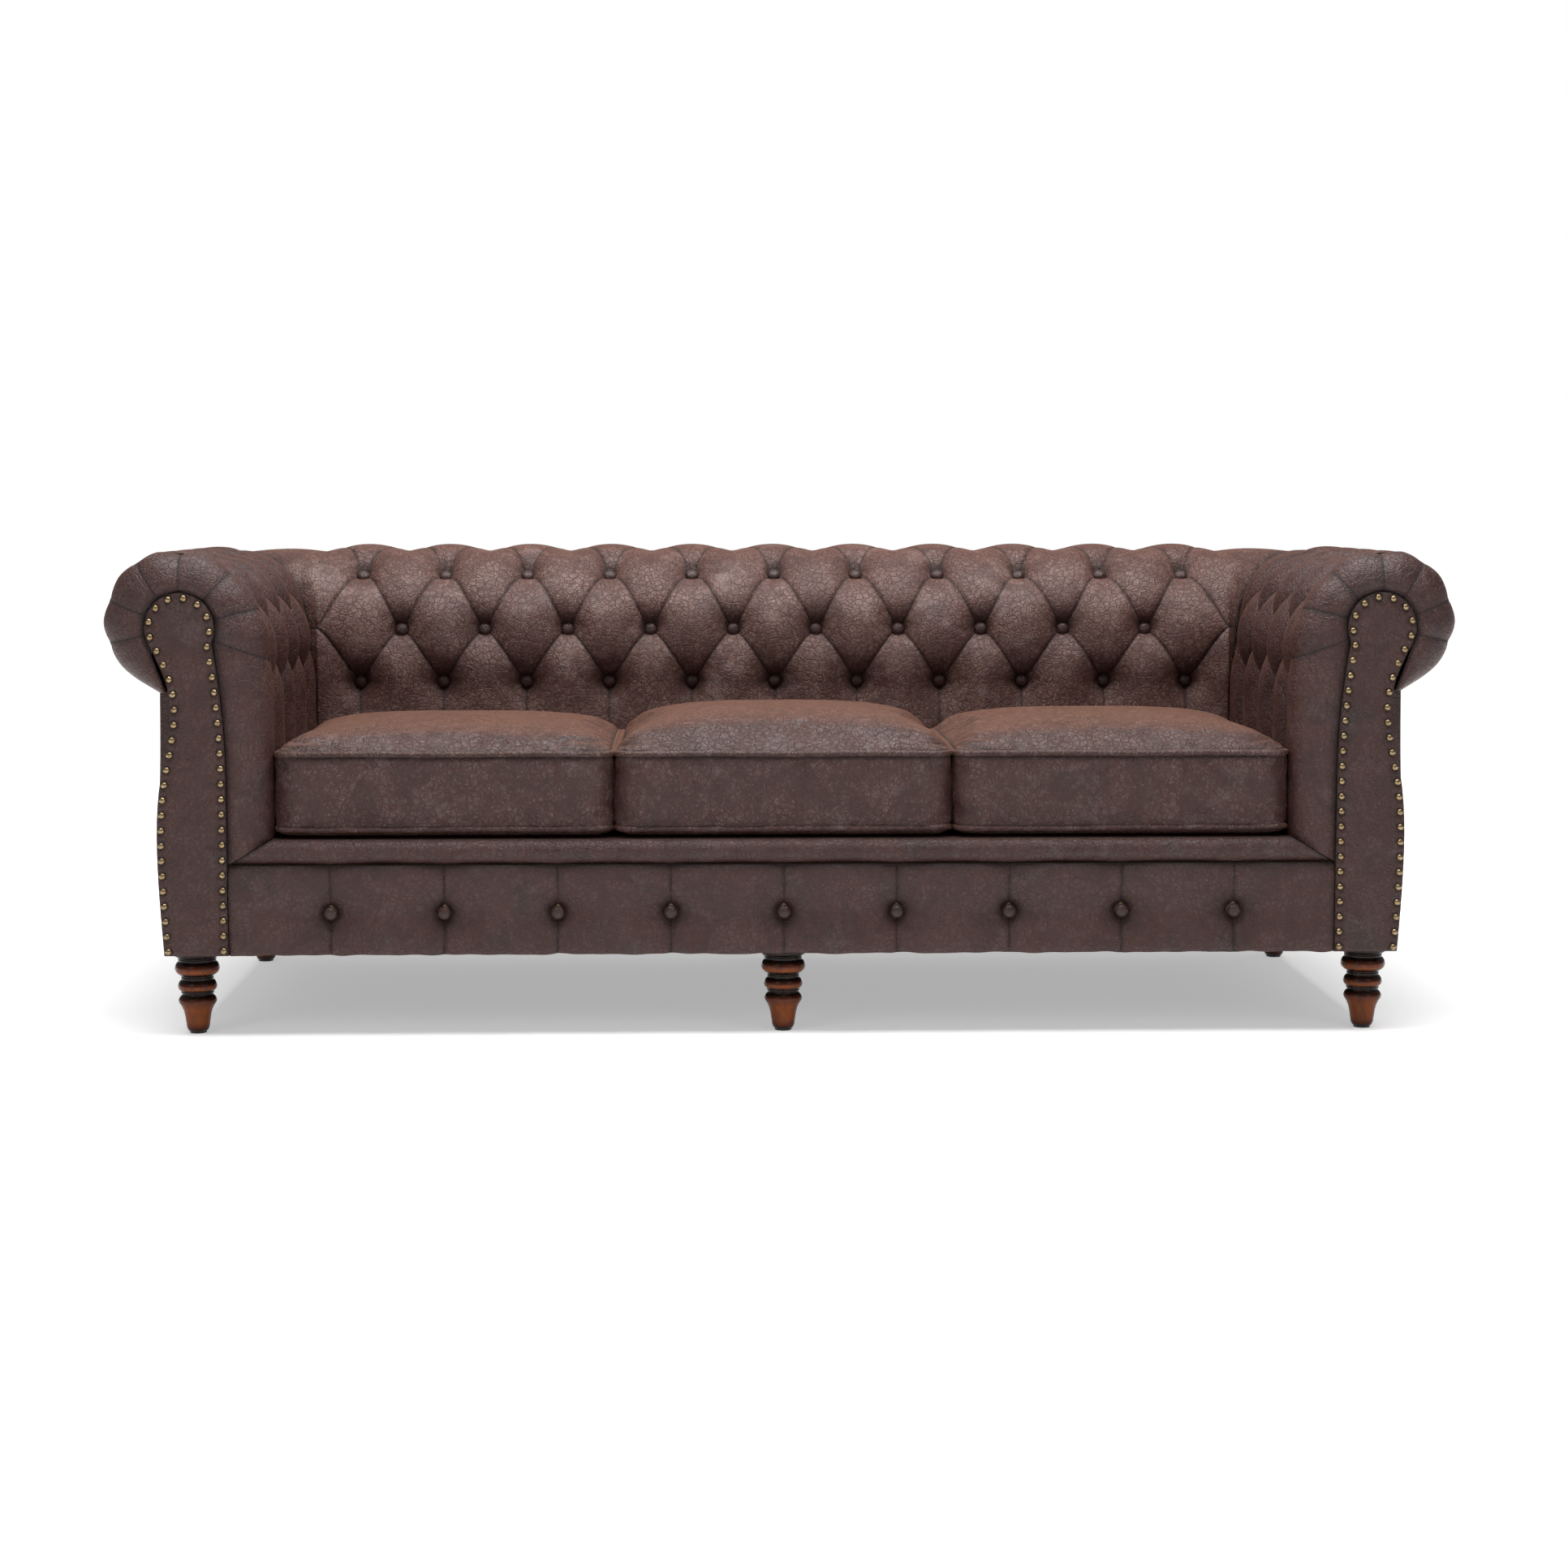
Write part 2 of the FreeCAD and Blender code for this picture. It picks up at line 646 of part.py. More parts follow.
def nail(x, z):
    """A nail head, a low six-sided point standing on the facing."""
    base = [Vector(x + p.x, FACING_Y, z + p.y) for p in ring(6, NAIL_RADIUS, 0.0)]
    tip = Vector(x, FRONT, z)
    cells = [(tip, a, b) for a, b in zip(base, base[1:] + base[:1])]
    cells += [(a, c, b) for a, b, c in fan_from(base[0], base[1:])]
    return facet_solid(cells)


def facing_nails():
    edges = facing_wire(NAIL_INSET).Edges[:4]
    line = Part.Wire(edges)
    count = round(line.Length / NAIL_PITCH)
    return [nail(p.x, p.z) for p in line.discretize(count + 1)]


# Outside covers, foam and deck

def outside_arm_cover():
    """Panel of the outside arm: a gentle swell from the frame to under the roll."""
    front = FACING_Y + FACING_THICK + 0.5
    outer = [Vector(OUTSIDE_ARM + out, front, z) for out, z in ARM_PANEL]
    inner = [Vector(p.x - PANEL_THICK, front, p.z) for p in reversed(outer)]
    return prism(outer + inner, Vector(0, OUTSIDE_BACK - PANEL_THICK - 1.0 - front, 0))


def outside_back_cover():
    half = OUTSIDE_ARM - BACK_PANEL_INSET
    return box(-half, half, OUTSIDE_BACK - PANEL_THICK, OUTSIDE_BACK, LEG_HEIGHT, BACK_PANEL_TOP)


def foam_section(run, offset, start, inner_line):
    """Closed outline of the foam behind a quilted cover, in across and up."""
    outline = [section_point(s, run, offset) for s in stations() if s > -2]
    outline = [(start + across, up) for across, up in outline]
    foot = outline[0][1]
    return outline + [(inner_line + 22.0, CORE_LOW + 4.0), (inner_line, CORE_LOW - 12.0), (inner_line, foot)]


def seam_block(side):
    """Everything beyond the corner seam, seen from the back."""
    slope = (HALF - SEAT_HALF) / (REAR - BACK_FACE)
    start_y, far_y = BACK_FACE - 100.0, BACK_FACE + 400.0
    x0 = SEAT_HALF - 100.0 * slope - 1.0
    x1 = x0 + (far_y - start_y) * slope
    points = [Vector(x0, start_y, 200.0), Vector(x1, far_y, 200.0), Vector(x1 + 400, start_y, 200.0)]
    block = prism(points, Vector(0, 0, 600.0))
    return block if side > 0 else other_side(block)


def behind_seam():
    """Everything beyond the corner seam, seen from the arm at +X."""
    slope = (REAR - BACK_FACE) / (HALF - SEAT_HALF)
    x0, x1 = SEAT_HALF - 100.0, HALF + 100.0
    y0 = BACK_FACE - (SEAT_HALF - x0) * slope - 1.0
    y1 = BACK_FACE + (x1 - SEAT_HALF) * slope - 1.0
    points = [Vector(x0, y0, 200.0), Vector(x1, y1, 200.0), Vector(x0, y1, 200.0)]
    return prism(points, Vector(0, 0, 600.0))


def cut_all(shape, cutters):
    for cutter in cutters:
        shape = shape.cut(cutter)
    return shape


def back_foam():
    section = foam_section(REAR - BACK_FACE, QUILT + 1.0, BACK_FACE, FOAM_BACK_Y)
    foam = prism([Vector(-HALF, y, z) for y, z in section], Vector(2 * HALF, 0, 0))
    x0, x1, y0, y1, z0, z1 = TOP_RAIL
    pocket = box(x0 - 1, x1 + 1, y0 - GAP, y1 + GAP, z0 - 20, z1 + GAP)
    return cut_all(foam, [seam_block(1), seam_block(-1), pocket])


def arm_foam():
    section = foam_section(HALF - SEAT_HALF, QUILT + 1.0, SEAT_HALF, FOAM_BACK_X)
    start = POST_BACK + GAP
    foam = prism([Vector(x, start, z) for x, z in section], Vector(0, REAR - start, 0))
    x0, x1, y0, y1, z0, z1 = ARM_BOARD
    pocket = box(x0 - GAP, x1 + GAP, y0 - 30, y1 + GAP, z0 - 20, z1 + GAP)
    return cut_all(foam, [behind_seam(), pocket])


# Timber frame

def leg_places():
    return [(x, y) for y in LEG_Y for x in (-LEG_X, 0.0, LEG_X)]


def leg_block(x, y):
    """Block that a foot screws into, between the rails, with the bore of its bolt."""
    half = 34.0 if x == 0 else 24.0
    centre = math.copysign(LEG_X - 5.0, x) if x else 0.0
    if y < 0:
        front = BEHIND_BORDER + RAIL_THICK + GAP if x == 0 else POST_BACK + GAP
        back = y + BLOCK_BEHIND
    else:
        front, back = y - BLOCK_BEFORE, BACK_RAIL_Y[0] - GAP
    block = box(centre - half, centre + half, front, back, FRAME_Z, BLOCK_TOP)
    return block.cut(bar(ROUND_SIDES, BOLT_RADIUS + GAP, FRAME_Z - 10, BOLT_HIGH + 1, (x, y)))


def upright(x):
    """Back upright, leaning forward to the top rail."""
    rear = BACK_RAIL_Y[0] - GAP
    front = rear - UPRIGHT_DEPTH
    outline = (
        (front, FRAME_Z), (rear, FRAME_Z), (rear, LOW_RAIL_TOP),
        (rear - UPRIGHT_LEAN, CORE_LOW), (front - UPRIGHT_LEAN, CORE_LOW), (front, LOW_RAIL_TOP),
    )
    return prism([Vector(x - UPRIGHT_HALF, y, z) for y, z in outline], Vector(2 * UPRIGHT_HALF, 0, 0))


def frame_pieces():
    front_half = FACING_INNER + POST_INSET - 0.5
    rail_half = RAIL_INNER - GAP
    block_front, block_back = LEG_Y[0] + BLOCK_BEHIND + GAP, LEG_Y[1] - BLOCK_BEFORE - GAP
    tuck_y = FOAM_BACK_Y + 3.0
    pieces = {
        "front_rail": box(-front_half, front_half, BEHIND_BORDER, BEHIND_BORDER + RAIL_THICK, FRAME_Z, RAIL_TOP),
        "seat_rear_rail": box(-rail_half, rail_half, *SEAT_RAIL_Y, SEAT_RAIL_LOW, RAIL_TOP),
        "back_rail": box(-rail_half, rail_half, *BACK_RAIL_Y, FRAME_Z, LOW_RAIL_TOP),
        "centre_rail": box(-15.0, 15.0, block_front, block_back, FRAME_Z, SEAT_RAIL_LOW - GAP),
        "back_uprights": group([upright(x) for x in UPRIGHT_X]),
        "back_top_rail": box(*TOP_RAIL),
        "back_tuck_rail": box(-TUCK_HALF, TUCK_HALF, tuck_y, tuck_y + 22.0, *TUCK_Z),
        "leg_blocks": group([leg_block(x, y) for x, y in leg_places()]),
    }
    inner_board_x = FOAM_BACK_X + GAP
    sides = {
        "side_rail": box(RAIL_INNER, RAIL_OUTER, POST_BACK + GAP, BACK_RAIL_Y[1], FRAME_Z, LOW_RAIL_TOP),
        "arm_post": keyhole_board(POST_INSET, POST_FRONT, POST_BACK - POST_FRONT),
        "rear_arm_post": box(ARM_BOARD[0], rail_half, 250.0, block_back, FRAME_Z, CORE_LOW),
        "arm_top_board": box(*ARM_BOARD),
        "arm_inner_board": box(inner_board_x, inner_board_x + 4.0, POST_BACK + GAP, 200.0, TUCK_Z[0], 552.0),
    }
    pieces.update(both_sides(sides))
    return pieces


def both_sides(shapes):
    pieces = {}
    for name, shape in shapes.items():
        pieces["right_" + name] = shape
        pieces["left_" + name] = other_side(shape)
    return pieces


# Seat suspension, between the front rail and the seat's rear rail

def cushion_middles():
    step = CUSHION_WIDTH + CUSHION_GAP
    return {"left": -step, "middle": 0.0, "right": step}


def spring_places():
    places = []
    for middle in cushion_middles().values():
        for k in range(SPRINGS_PER_CUSHION):
            places.append(middle + (k - 1) * CUSHION_WIDTH / SPRINGS_PER_CUSHION)
    return places


def sinuous_spring(x):
    """Zigzag spring of flat wire: straight tails through the clips, bends between."""
    y0, y1 = SPRING_Y
    step = (y1 - y0 - 2 * SPRING_TAIL) / SPRING_BENDS
    middle = [(0.0, y0), (0.0, y0 + SPRING_TAIL)]
    for k in range(SPRING_BENDS):
        side = SPRING_HALF_WIDTH if k % 2 else -SPRING_HALF_WIDTH
        middle.append((side, y0 + SPRING_TAIL + (k + 0.5) * step))
    middle += [(0.0, y1 - SPRING_TAIL), (0.0, y1)]
    half = SPRING_WIRE / 2
    left, right = [], []
    for k, (px, py) in enumerate(middle):
        ax, ay = middle[max(0, k - 1)]
        bx, by = middle[min(len(middle) - 1, k + 1)]
        along = Vector(bx - ax, by - ay, 0).normalize()
        into = Vector(px - ax, py - ay, 0) if k else along
        lean = max(0.45, abs(along.dot(into.normalize())))
        across = Vector(-along.y, along.x, 0) * (half / lean)
        left.append(Vector(x + px, py, RAIL_TOP) + across)
        right.append(Vector(x + px, py, RAIL_TOP) - across)
    return prism(left + right[::-1], Vector(0, 0, SPRING_WIRE))


def spring_clip(x, y):
    """Metal clip over the tail of a spring."""
    half = SPRING_WIRE / 2 + GAP
    clip = box(x - 9.0, x + 9.0, y - 6.0, y + 6.0, RAIL_TOP, CLIP_TOP)
    return clip.cut(box(x - half, x + half, y - 8.0, y + 8.0, RAIL_TOP - 1, RAIL_TOP + SPRING_WIRE + GAP))


def seat_pieces():
    side, back = SEAT_HALF - 2.0, BACK_FACE - 2.0
    front = LIP_BACK + GAP
    clips = [spring_clip(x, y) for x in spring_places() for y in (SPRING_Y[0] + 8.0, SPRING_Y[1] - 8.0)]
    dust = box(-RAIL_OUTER, RAIL_OUTER, BEHIND_BORDER + 0.5, BACK_RAIL_Y[1], LEG_HEIGHT + GAP, FRAME_Z - GAP)
    hole = LEG_OUTLINE[-1][0] + 4.0
    holes = [bar(ROUND_SIDES, hole, LEG_HEIGHT - 10, FRAME_Z + 10, place) for place in leg_places()]
    return {
        "seat_springs": group([sinuous_spring(x) for x in spring_places()]),
        "spring_clips": group(clips),
        "seat_felt": box(-side, side, front, back, CLIP_TOP + GAP, FELT_TOP),
        "seat_deck": box(-side, side, front, back, FELT_TOP + GAP, LIP_TOP - GAP),
        "dust_cover": cut_all(dust, holes),
        "back_webbing": group(back_webbing()),
    }


def back_webbing():
    """Straps across the open back, behind the foam."""
    y = FOAM_BACK_Y + GAP
    return [box(-WEB_HALF, WEB_HALF, y, y + 2.0, z, z + WEB_WIDTH) for z in WEB_HEIGHTS]


# Loose cushions

def cushion_outline(drawn_in, radius, z, middle):
    """Plan of a cushion, drawn in by so much: a rectangle with each corner turned in two bends."""
    x0, x1 = -CUSHION_WIDTH / 2 + drawn_in, CUSHION_WIDTH / 2 - drawn_in
    y0, y1 = CUSHION_FRONT + drawn_in, CUSHION_BACK - drawn_in
    k = radius * (1 - math.sqrt(0.5))
    corners = (
        (x1 - radius, y0), (x1 - k, y0 + k), (x1, y0 + radius),
        (x1, y1 - radius), (x1 - k, y1 - k), (x1 - radius, y1),
        (x0 + radius, y1), (x0 + k, y1 - k), (x0, y1 - radius),
        (x0, y0 + radius), (x0 + k, y0 + k), (x0 + radius, y0),
    )
    return [Vector(middle + x, y, z) for x, y in corners]


def cushion_body(middle, crown, wall):
    """Crowned block whose sides pull in between the two lines of piping. wall draws it in on every side."""
    rise = crown - PIPING_HIGH
    sections = [
        (24.0, CUSHION_LOW + wall),
        (0.0, PIPING_LOW + wall * 0.4),
        (CUSHION_WAIST, (PIPING_LOW + PIPING_HIGH) / 2),
        (0.0, PIPING_HIGH - wall * 0.4),
        (26.0, PIPING_HIGH + rise * 0.5 - wall),
        (80.0, PIPING_HIGH + rise * 0.86 - wall),
        (150.0, crown - wall),
    ]
    if wall:
        del sections[4]
    rings = []
    for inset, z in sections:
        radius = CUSHION_CORNER + inset * 0.2 - wall * 0.5
        rings.append(cushion_outline(inset + wall + COVER_INSET, radius, z, middle))
    return stacked(rings)


def piping_loop(middle, z, radius):
    """A loop of six-sided piping round the cushion's edge, mitred at each bend."""
    path = cushion_outline(PIPING_RADIUS, CUSHION_CORNER, z, middle)
    rings = []
    for k, here in enumerate(path):
        before, after = path[k - 1], path[(k + 1) % len(path)]
        arriving = (here - before).normalize()
        leaving = (after - here).normalize()
        along = (arriving + leaving).normalize()
        out = Vector(along.y, -along.x, 0) * (1 / along.dot(leaving))
        around = ring(6, radius, 0.0)
        corners = [here + out * p.x + Vector(0, 0, p.y) for p in around]
        rings.append(corners + [corners[0]])
    cells = []
    for first, second in zip(rings, rings[1:] + rings[:1]):
        cells += strip(first, second)
    return facet_solid(cells)


def cushion(middle, crown):
    cover = cushion_body(middle, crown, 0.0)
    hollow = cushion_body(middle, crown, CUSHION_WALL)
    core = cushion_body(middle, crown, CUSHION_WALL + GAP)
    grooves = [piping_loop(middle, z, PIPING_RADIUS + 2 * GAP) for z in (PIPING_LOW, PIPING_HIGH)]
    piping = [piping_loop(middle, z, PIPING_RADIUS) for z in (PIPING_LOW, PIPING_HIGH)]
    return {
        "cushion_cover": cut_all(cover, [hollow] + grooves),
        "cushion_core": core,
        "cushion_piping": group(piping),
    }


# Feet

def leg(x, y):
    """Turned foot, built up in flat facets through rings of its outline, with the bore of its bolt."""
    turned = stacked([ring(LEG_SIDES, radius, z, (x, y)) for radius, z in LEG_OUTLINE])
    return turned.cut(bar(ROUND_SIDES, BOLT_RADIUS + GAP, BOLT_LOW - 0.5, FRAME_Z + 10, (x, y)))


def feet():
    names = {LEG_Y[0]: "front", LEG_Y[1]: "rear"}
    sides = {-LEG_X: "left", 0.0: "middle", LEG_X: "right"}
    pieces = {}
    for x, y in leg_places():
        pieces["leg_" + names[y] + "_" + sides[x]] = leg(x, y)
    bolts = [bar(ROUND_SIDES, BOLT_RADIUS, BOLT_LOW, BOLT_HIGH, place) for place in leg_places()]
    glides = [bar(ROUND_SIDES, GLIDE_RADIUS, 0.0, GLIDE_THICK, place) for place in leg_places()]
    pieces["leg_bolts"] = group(bolts)
    pieces["leg_glides"] = group(glides)
    return pieces


def upholstery():
    pieces = {
        "inside_back_cover": inside_back_cover(),
        "back_buttons": group(back_buttons()),
        "back_foam": back_foam(),
        "outside_back_cover": outside_back_cover(),
        "front_border_cover": front_border_cover(),
        "front_border_buttons": group(front_border_buttons()),
        "front_lip_roll": front_lip_roll(),
    }
    pieces.update(both_sides({
        "inside_arm_cover": inside_arm_cover(),
        "arm_buttons": group(arm_buttons()),
        "arm_foam": arm_foam(),
        "outside_arm_cover": outside_arm_cover(),
        "arm_facing": keyhole_board(0.0, FACING_Y, FACING_THICK),
        "facing_nails": group(facing_nails()),
    }))
    return pieces


def build():
    pieces = {}
    pieces.update(upholstery())
    pieces.update(frame_pieces())
    pieces.update(seat_pieces())
    for side, middle in cushion_middles().items():
        for name, shape in cushion(middle, CROWNS[side]).items():
            pieces[side + "_" + name] = shape
    pieces.update(feet())
    return pieces


if __name__ == "__main__":
    for name, shape in build().items():
        save(name, shape)
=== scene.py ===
import json
import math
import random

import bmesh
import bpy
import numpy as np
from mathutils import Matrix, Vector, noise


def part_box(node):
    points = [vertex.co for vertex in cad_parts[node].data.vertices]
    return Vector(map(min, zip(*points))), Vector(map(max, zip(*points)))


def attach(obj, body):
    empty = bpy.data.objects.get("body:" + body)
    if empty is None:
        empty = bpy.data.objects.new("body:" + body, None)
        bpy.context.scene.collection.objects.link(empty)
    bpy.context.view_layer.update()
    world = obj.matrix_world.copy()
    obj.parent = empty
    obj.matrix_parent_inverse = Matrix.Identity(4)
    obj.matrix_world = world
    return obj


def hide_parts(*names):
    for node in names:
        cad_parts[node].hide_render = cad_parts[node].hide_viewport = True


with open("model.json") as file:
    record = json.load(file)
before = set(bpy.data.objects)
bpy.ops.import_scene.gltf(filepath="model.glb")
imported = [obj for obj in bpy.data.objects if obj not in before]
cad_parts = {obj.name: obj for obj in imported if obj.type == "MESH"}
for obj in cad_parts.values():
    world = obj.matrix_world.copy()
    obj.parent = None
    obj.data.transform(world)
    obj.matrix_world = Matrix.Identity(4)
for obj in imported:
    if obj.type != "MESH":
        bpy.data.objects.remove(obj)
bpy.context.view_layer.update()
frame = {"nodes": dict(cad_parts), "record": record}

# Sizes, in millimetres. Every shape is made in millimetres and turned to metres when it is finished.

SEAT_HALF = 776.0            # from the middle to the inner face of each arm
BACK_FACE = 118.0            # inner face of the back, at its crowns
ARM_WIDTH = 254.0            # of the rolled section, from the inner face to the widest point
BACK_WIDTH = 332.0
ARM_FRONT = -400.0           # where the roll starts to round over to the front
FACING_Y = -446.5            # front of the flat arm facings
COLUMN = SEAT_HALF / 11      # half the pitch of the back's buttons
ARM_COLUMN = (BACK_FACE - ARM_FRONT) / 8
ROW = 93.0

# The rolled section that the back and both arms share, at each row of buttons and on over the roll
STATIONS = (-2.6, -1.0, 0.0, 1.0, 1.55, 2.0, 3.0, 4.0, 5.0, 6.0, 7.0)
ACROSS = (0.0, 0.0, 0.0, 0.006, 0.075, 0.225, 0.53, 0.83, 1.0, 0.90, 0.66)
HEIGHTS = (264.5, 415.0, 507.0, 600.0, 662.0, 710.0, 740.0, 721.0, 640.0, 566.0, 525.0)

PLEAT = 7.5                  # depth of the pleats between the diamonds
ARM_PLEAT = 21.0
PIT = 33.5                   # depth of the pits that the buttons sit in
PIT_SIDE, PIT_OVER, PIT_UNDER = 25.0, 21.0, 34.0     # its reach beside, over and under the button
BUTTON_HOLE = 7.0
STITCH_GROOVE = 3.0
SCALLOP = 13.0               # depth of the dips along the crest
BUTTON_DEPTHS = (31.0, 30.6, 29.4)      # of each row of buttons, under the crowns
CREST = 3.0                  # row where the last pleats meet, without buttons
BEHIND_TOP = 3.6             # station of the roll where that row lies
FINE = 14                    # faces along one pleat
SEAM = 16.0

HEAD_X, HEAD_Z, HEAD_R = 909.0, 624.0, 53.0
NECK = (929.0, 532.0)
FACING_IN = 843.0
FACING_LOW = 126.0
BAND_PLEATS = (0.75, 1.48, 2.0, 3.0, 3.9, 4.7, 5.5)     # stations of the radial pleats round the facing

BORDER_PITCH = 172.4
BORDER_Z = (126.0, 264.0)
BORDER_BUTTON_Z = 190.0
BORDER_HOLLOW, BORDER_HOLLOW_REACH = 16.0, 34.0
LIP_LOW, LIP_TOP, LIP_DEPTH = 264.5, 303.0, 19.0

CUSHION_FRONT, CUSHION_BACK = -428.0, 112.0
CUSHION_WIDTH = 515.0
CUSHION_PITCH = 517.0
PIPING_LOW, PIPING_HIGH = 317.0, 432.0
PIPING_RADIUS = {"low": 4.3, "high": 4.5}
CROWNS = {"left": 470.0, "middle": 488.0, "right": 476.0}

LEG_X, LEG_Y = 900.5, (-388.0, 326.0)

rng = random.Random(7)


# Small helpers

def near(value):
    """Distance to the nearest whole number."""
    return np.abs(value - np.round(value))


def ease(value):
    """0 to 1 with level ends."""
    value = np.clip(value, 0.0, 1.0)
    return value * value * (3 - 2 * value)


def fade(distance, reach, power=1):
    """1 at no distance, dying away over the reach."""
    return np.exp(-(distance / reach) ** power)


def spline(knots, values):
    """Natural cubic spline through the values."""
    knots, values = np.array(knots), np.array(values)
    count, gap = len(knots), np.diff(knots)
    system, right = np.eye(count), np.zeros(count)
    for i in range(1, count - 1):
        system[i, i - 1:i + 2] = gap[i - 1], 2 * (gap[i - 1] + gap[i]), gap[i]
        right[i] = 6 * ((values[i + 1] - values[i]) / gap[i] - (values[i] - values[i - 1]) / gap[i - 1])
    bend = np.linalg.solve(system, right)

    def at(place):
        place = np.asarray(place, float)
        i = np.clip(np.searchsorted(knots, place) - 1, 0, count - 2)
        a, b = (knots[i + 1] - place) / gap[i], (place - knots[i]) / gap[i]
        curve = ((a ** 3 - a) * bend[i] + (b ** 3 - b) * bend[i + 1]) * gap[i] ** 2 / 6
        return a * values[i] + b * values[i + 1] + curve
    return at


across_at = spline(STATIONS, ACROSS)
height_at = spline(STATIONS, HEIGHTS)


def roll(station, width, depth):
    """Points of the rolled section, so far under its crowns: outwards and up."""
    small = 0.001
    along = width * (across_at(station + small) - across_at(station - small))
    rise = height_at(station + small) - height_at(station - small)
    length = np.hypot(along, rise)
    return width * across_at(station) + rise / length * depth, height_at(station) - along / length * depth


def crowded(marks, steps, pull=0.8):
    """Values from the first mark to the last, closer together at each mark."""
    values = []
    for first, last in zip(marks, marks[1:]):
        for i in range(steps):
            f = i / steps
            values.append(first + (last - first) * (f - pull * math.sin(2 * math.pi * f) / (2 * math.pi)))
    return values + [marks[-1]]


def sheet(columns, rows):
    """A flat sheet with a vertex at every pair of a column and a row."""
    bm = bmesh.new()
    across, up = len(columns) - 1, len(rows) - 1
    bmesh.ops.create_grid(bm, x_segments=across, y_segments=up, size=0.5)
    for v in bm.verts:
        v.co = (columns[round((v.co.x + 0.5) * across)], rows[round((v.co.y + 0.5) * up)], 0)
    return bm


def spots(bm):
    """The first two coordinates of every vertex, as arrays."""
    bm.verts.ensure_lookup_table()
    return np.array([v.co.x for v in bm.verts]), np.array([v.co.y for v in bm.verts])


def move_to(bm, x, y, z):
    for v, px, py, pz in zip(bm.verts, x, y, z):
        v.co = (px, py, pz)


def paint_shade(bm, values):
    """Stores painted shade at every vertex: how dark it is drawn for lying in a pleat, pit, seam or recess,
    for the leather to read.
    """
    layer = bm.verts.layers.float.new("painted_shade")
    for v, value in zip(bm.verts, values):
        v[layer] = float(value)


def flip_if(bm, wanted):
    """Turns all faces over if their common side doesn't point the wanted way."""
    bm.normal_update()
    total = Vector()
    for f in bm.faces:
        total += f.normal * f.calc_area()
    if total.dot(Vector(wanted)) < 0:
        bmesh.ops.reverse_faces(bm, faces=bm.faces)


def laid(bm, x, y, z, dark, outward, merge=0.0):
    """Gives a flat sheet its shape, the painted shade of its creases and its outer side."""
    move_to(bm, x, y, z)
    paint_shade(bm, dark)
    if merge:
        bmesh.ops.remove_doubles(bm, verts=bm.verts, dist=merge)
    flip_if(bm, outward)
    return bm


def mirrored(bm):
    """A copy for the other arm."""
    other = bm.copy()
    bmesh.ops.scale(other, vec=(-1, 1, 1), verts=other.verts)
    bmesh.ops.reverse_faces(other, faces=other.faces)
    return other


def both_arms(bm):
    """The shape for each arm, with the arm's side."""
    return ("left", mirrored(bm)), ("right", bm)


def extruded(bm, edges):
    """Carries edges on and gives their new vertices."""
    made = bmesh.ops.extrude_edge_only(bm, edges=edges)["geom"]
    return [v for v in made if isinstance(v, bmesh.types.BMVert)]


def to_object(bm, name, material):
    mesh = bpy.data.meshes.new(name)
    bm.to_mesh(mesh)
    bm.free()
    mesh.materials.append(material)
    obj = bpy.data.objects.new(name, mesh)
    bpy.context.scene.collection.objects.link(obj)
    return obj


def piece(bm, name, material, replaced, body="sofa", finer=0):
    """Turns a shape in millimetres into a piece that stands for its nodes and rides on its body."""
    bmesh.ops.scale(bm, vec=(0.001, 0.001, 0.001), verts=bm.verts)
    obj = to_object(bm, name, material)
    for p in obj.data.polygons:
        p.use_smooth = True
    if finer:
        smoother = obj.modifiers.new("finer", "SUBSURF")
        smoother.levels = smoother.render_levels = finer
    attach(obj, body)
    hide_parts(*replaced)
    return obj


def turned(outline, steps, middle=(0.0, 0.0)):
    """A shape spun round a vertical line from an outline of radius and height."""
    bm = bmesh.new()
    line = [bm.verts.new((radius, 0, z)) for radius, z in outline]
    edges = [bm.edges.new(pair) for pair in zip(line, line[1:])]
    bmesh.ops.spin(bm, geom=line + edges, cent=(0, 0, 0), axis=(0, 0, 1), angle=2 * math.pi, steps=steps,
                   use_merge=True)
    bmesh.ops.remove_doubles(bm, verts=bm.verts, dist=0.01)
    bmesh.ops.recalc_face_normals(bm, faces=bm.faces)
    bmesh.ops.translate(bm, vec=(middle[0], middle[1], 0), verts=bm.verts)
    return bm


def scattered(bm, matrices):
    """Copies of one small shape, one at each matrix."""
    mesh = bpy.data.meshes.new("one")
    bm.to_mesh(mesh)
    bm.free()
    whole = bmesh.new()
    for matrix in matrices:
        copy = mesh.copy()
        copy.transform(matrix)
        whole.from_mesh(copy)
        bpy.data.meshes.remove(copy)
    bpy.data.meshes.remove(mesh)
    return whole


def welt(points, radius):
    """A round welt along a closed line of points."""
    curve = bpy.data.curves.new("welt", "CURVE")
    curve.dimensions = "3D"
    line = curve.splines.new("POLY")
    line.points.add(len(points) - 1)
    for target, p in zip(line.points, points):
        target.co = (*p, 1)
    line.use_cyclic_u = True
    curve.bevel_depth = radius
    curve.bevel_resolution = 2
    obj = bpy.data.objects.new("welt", curve)
    bm = bmesh.new()
    bm.from_mesh(bpy.data.meshes.new_from_object(obj))
    bpy.data.objects.remove(obj)
    bpy.data.curves.remove(curve)
    return bm


# Finishes

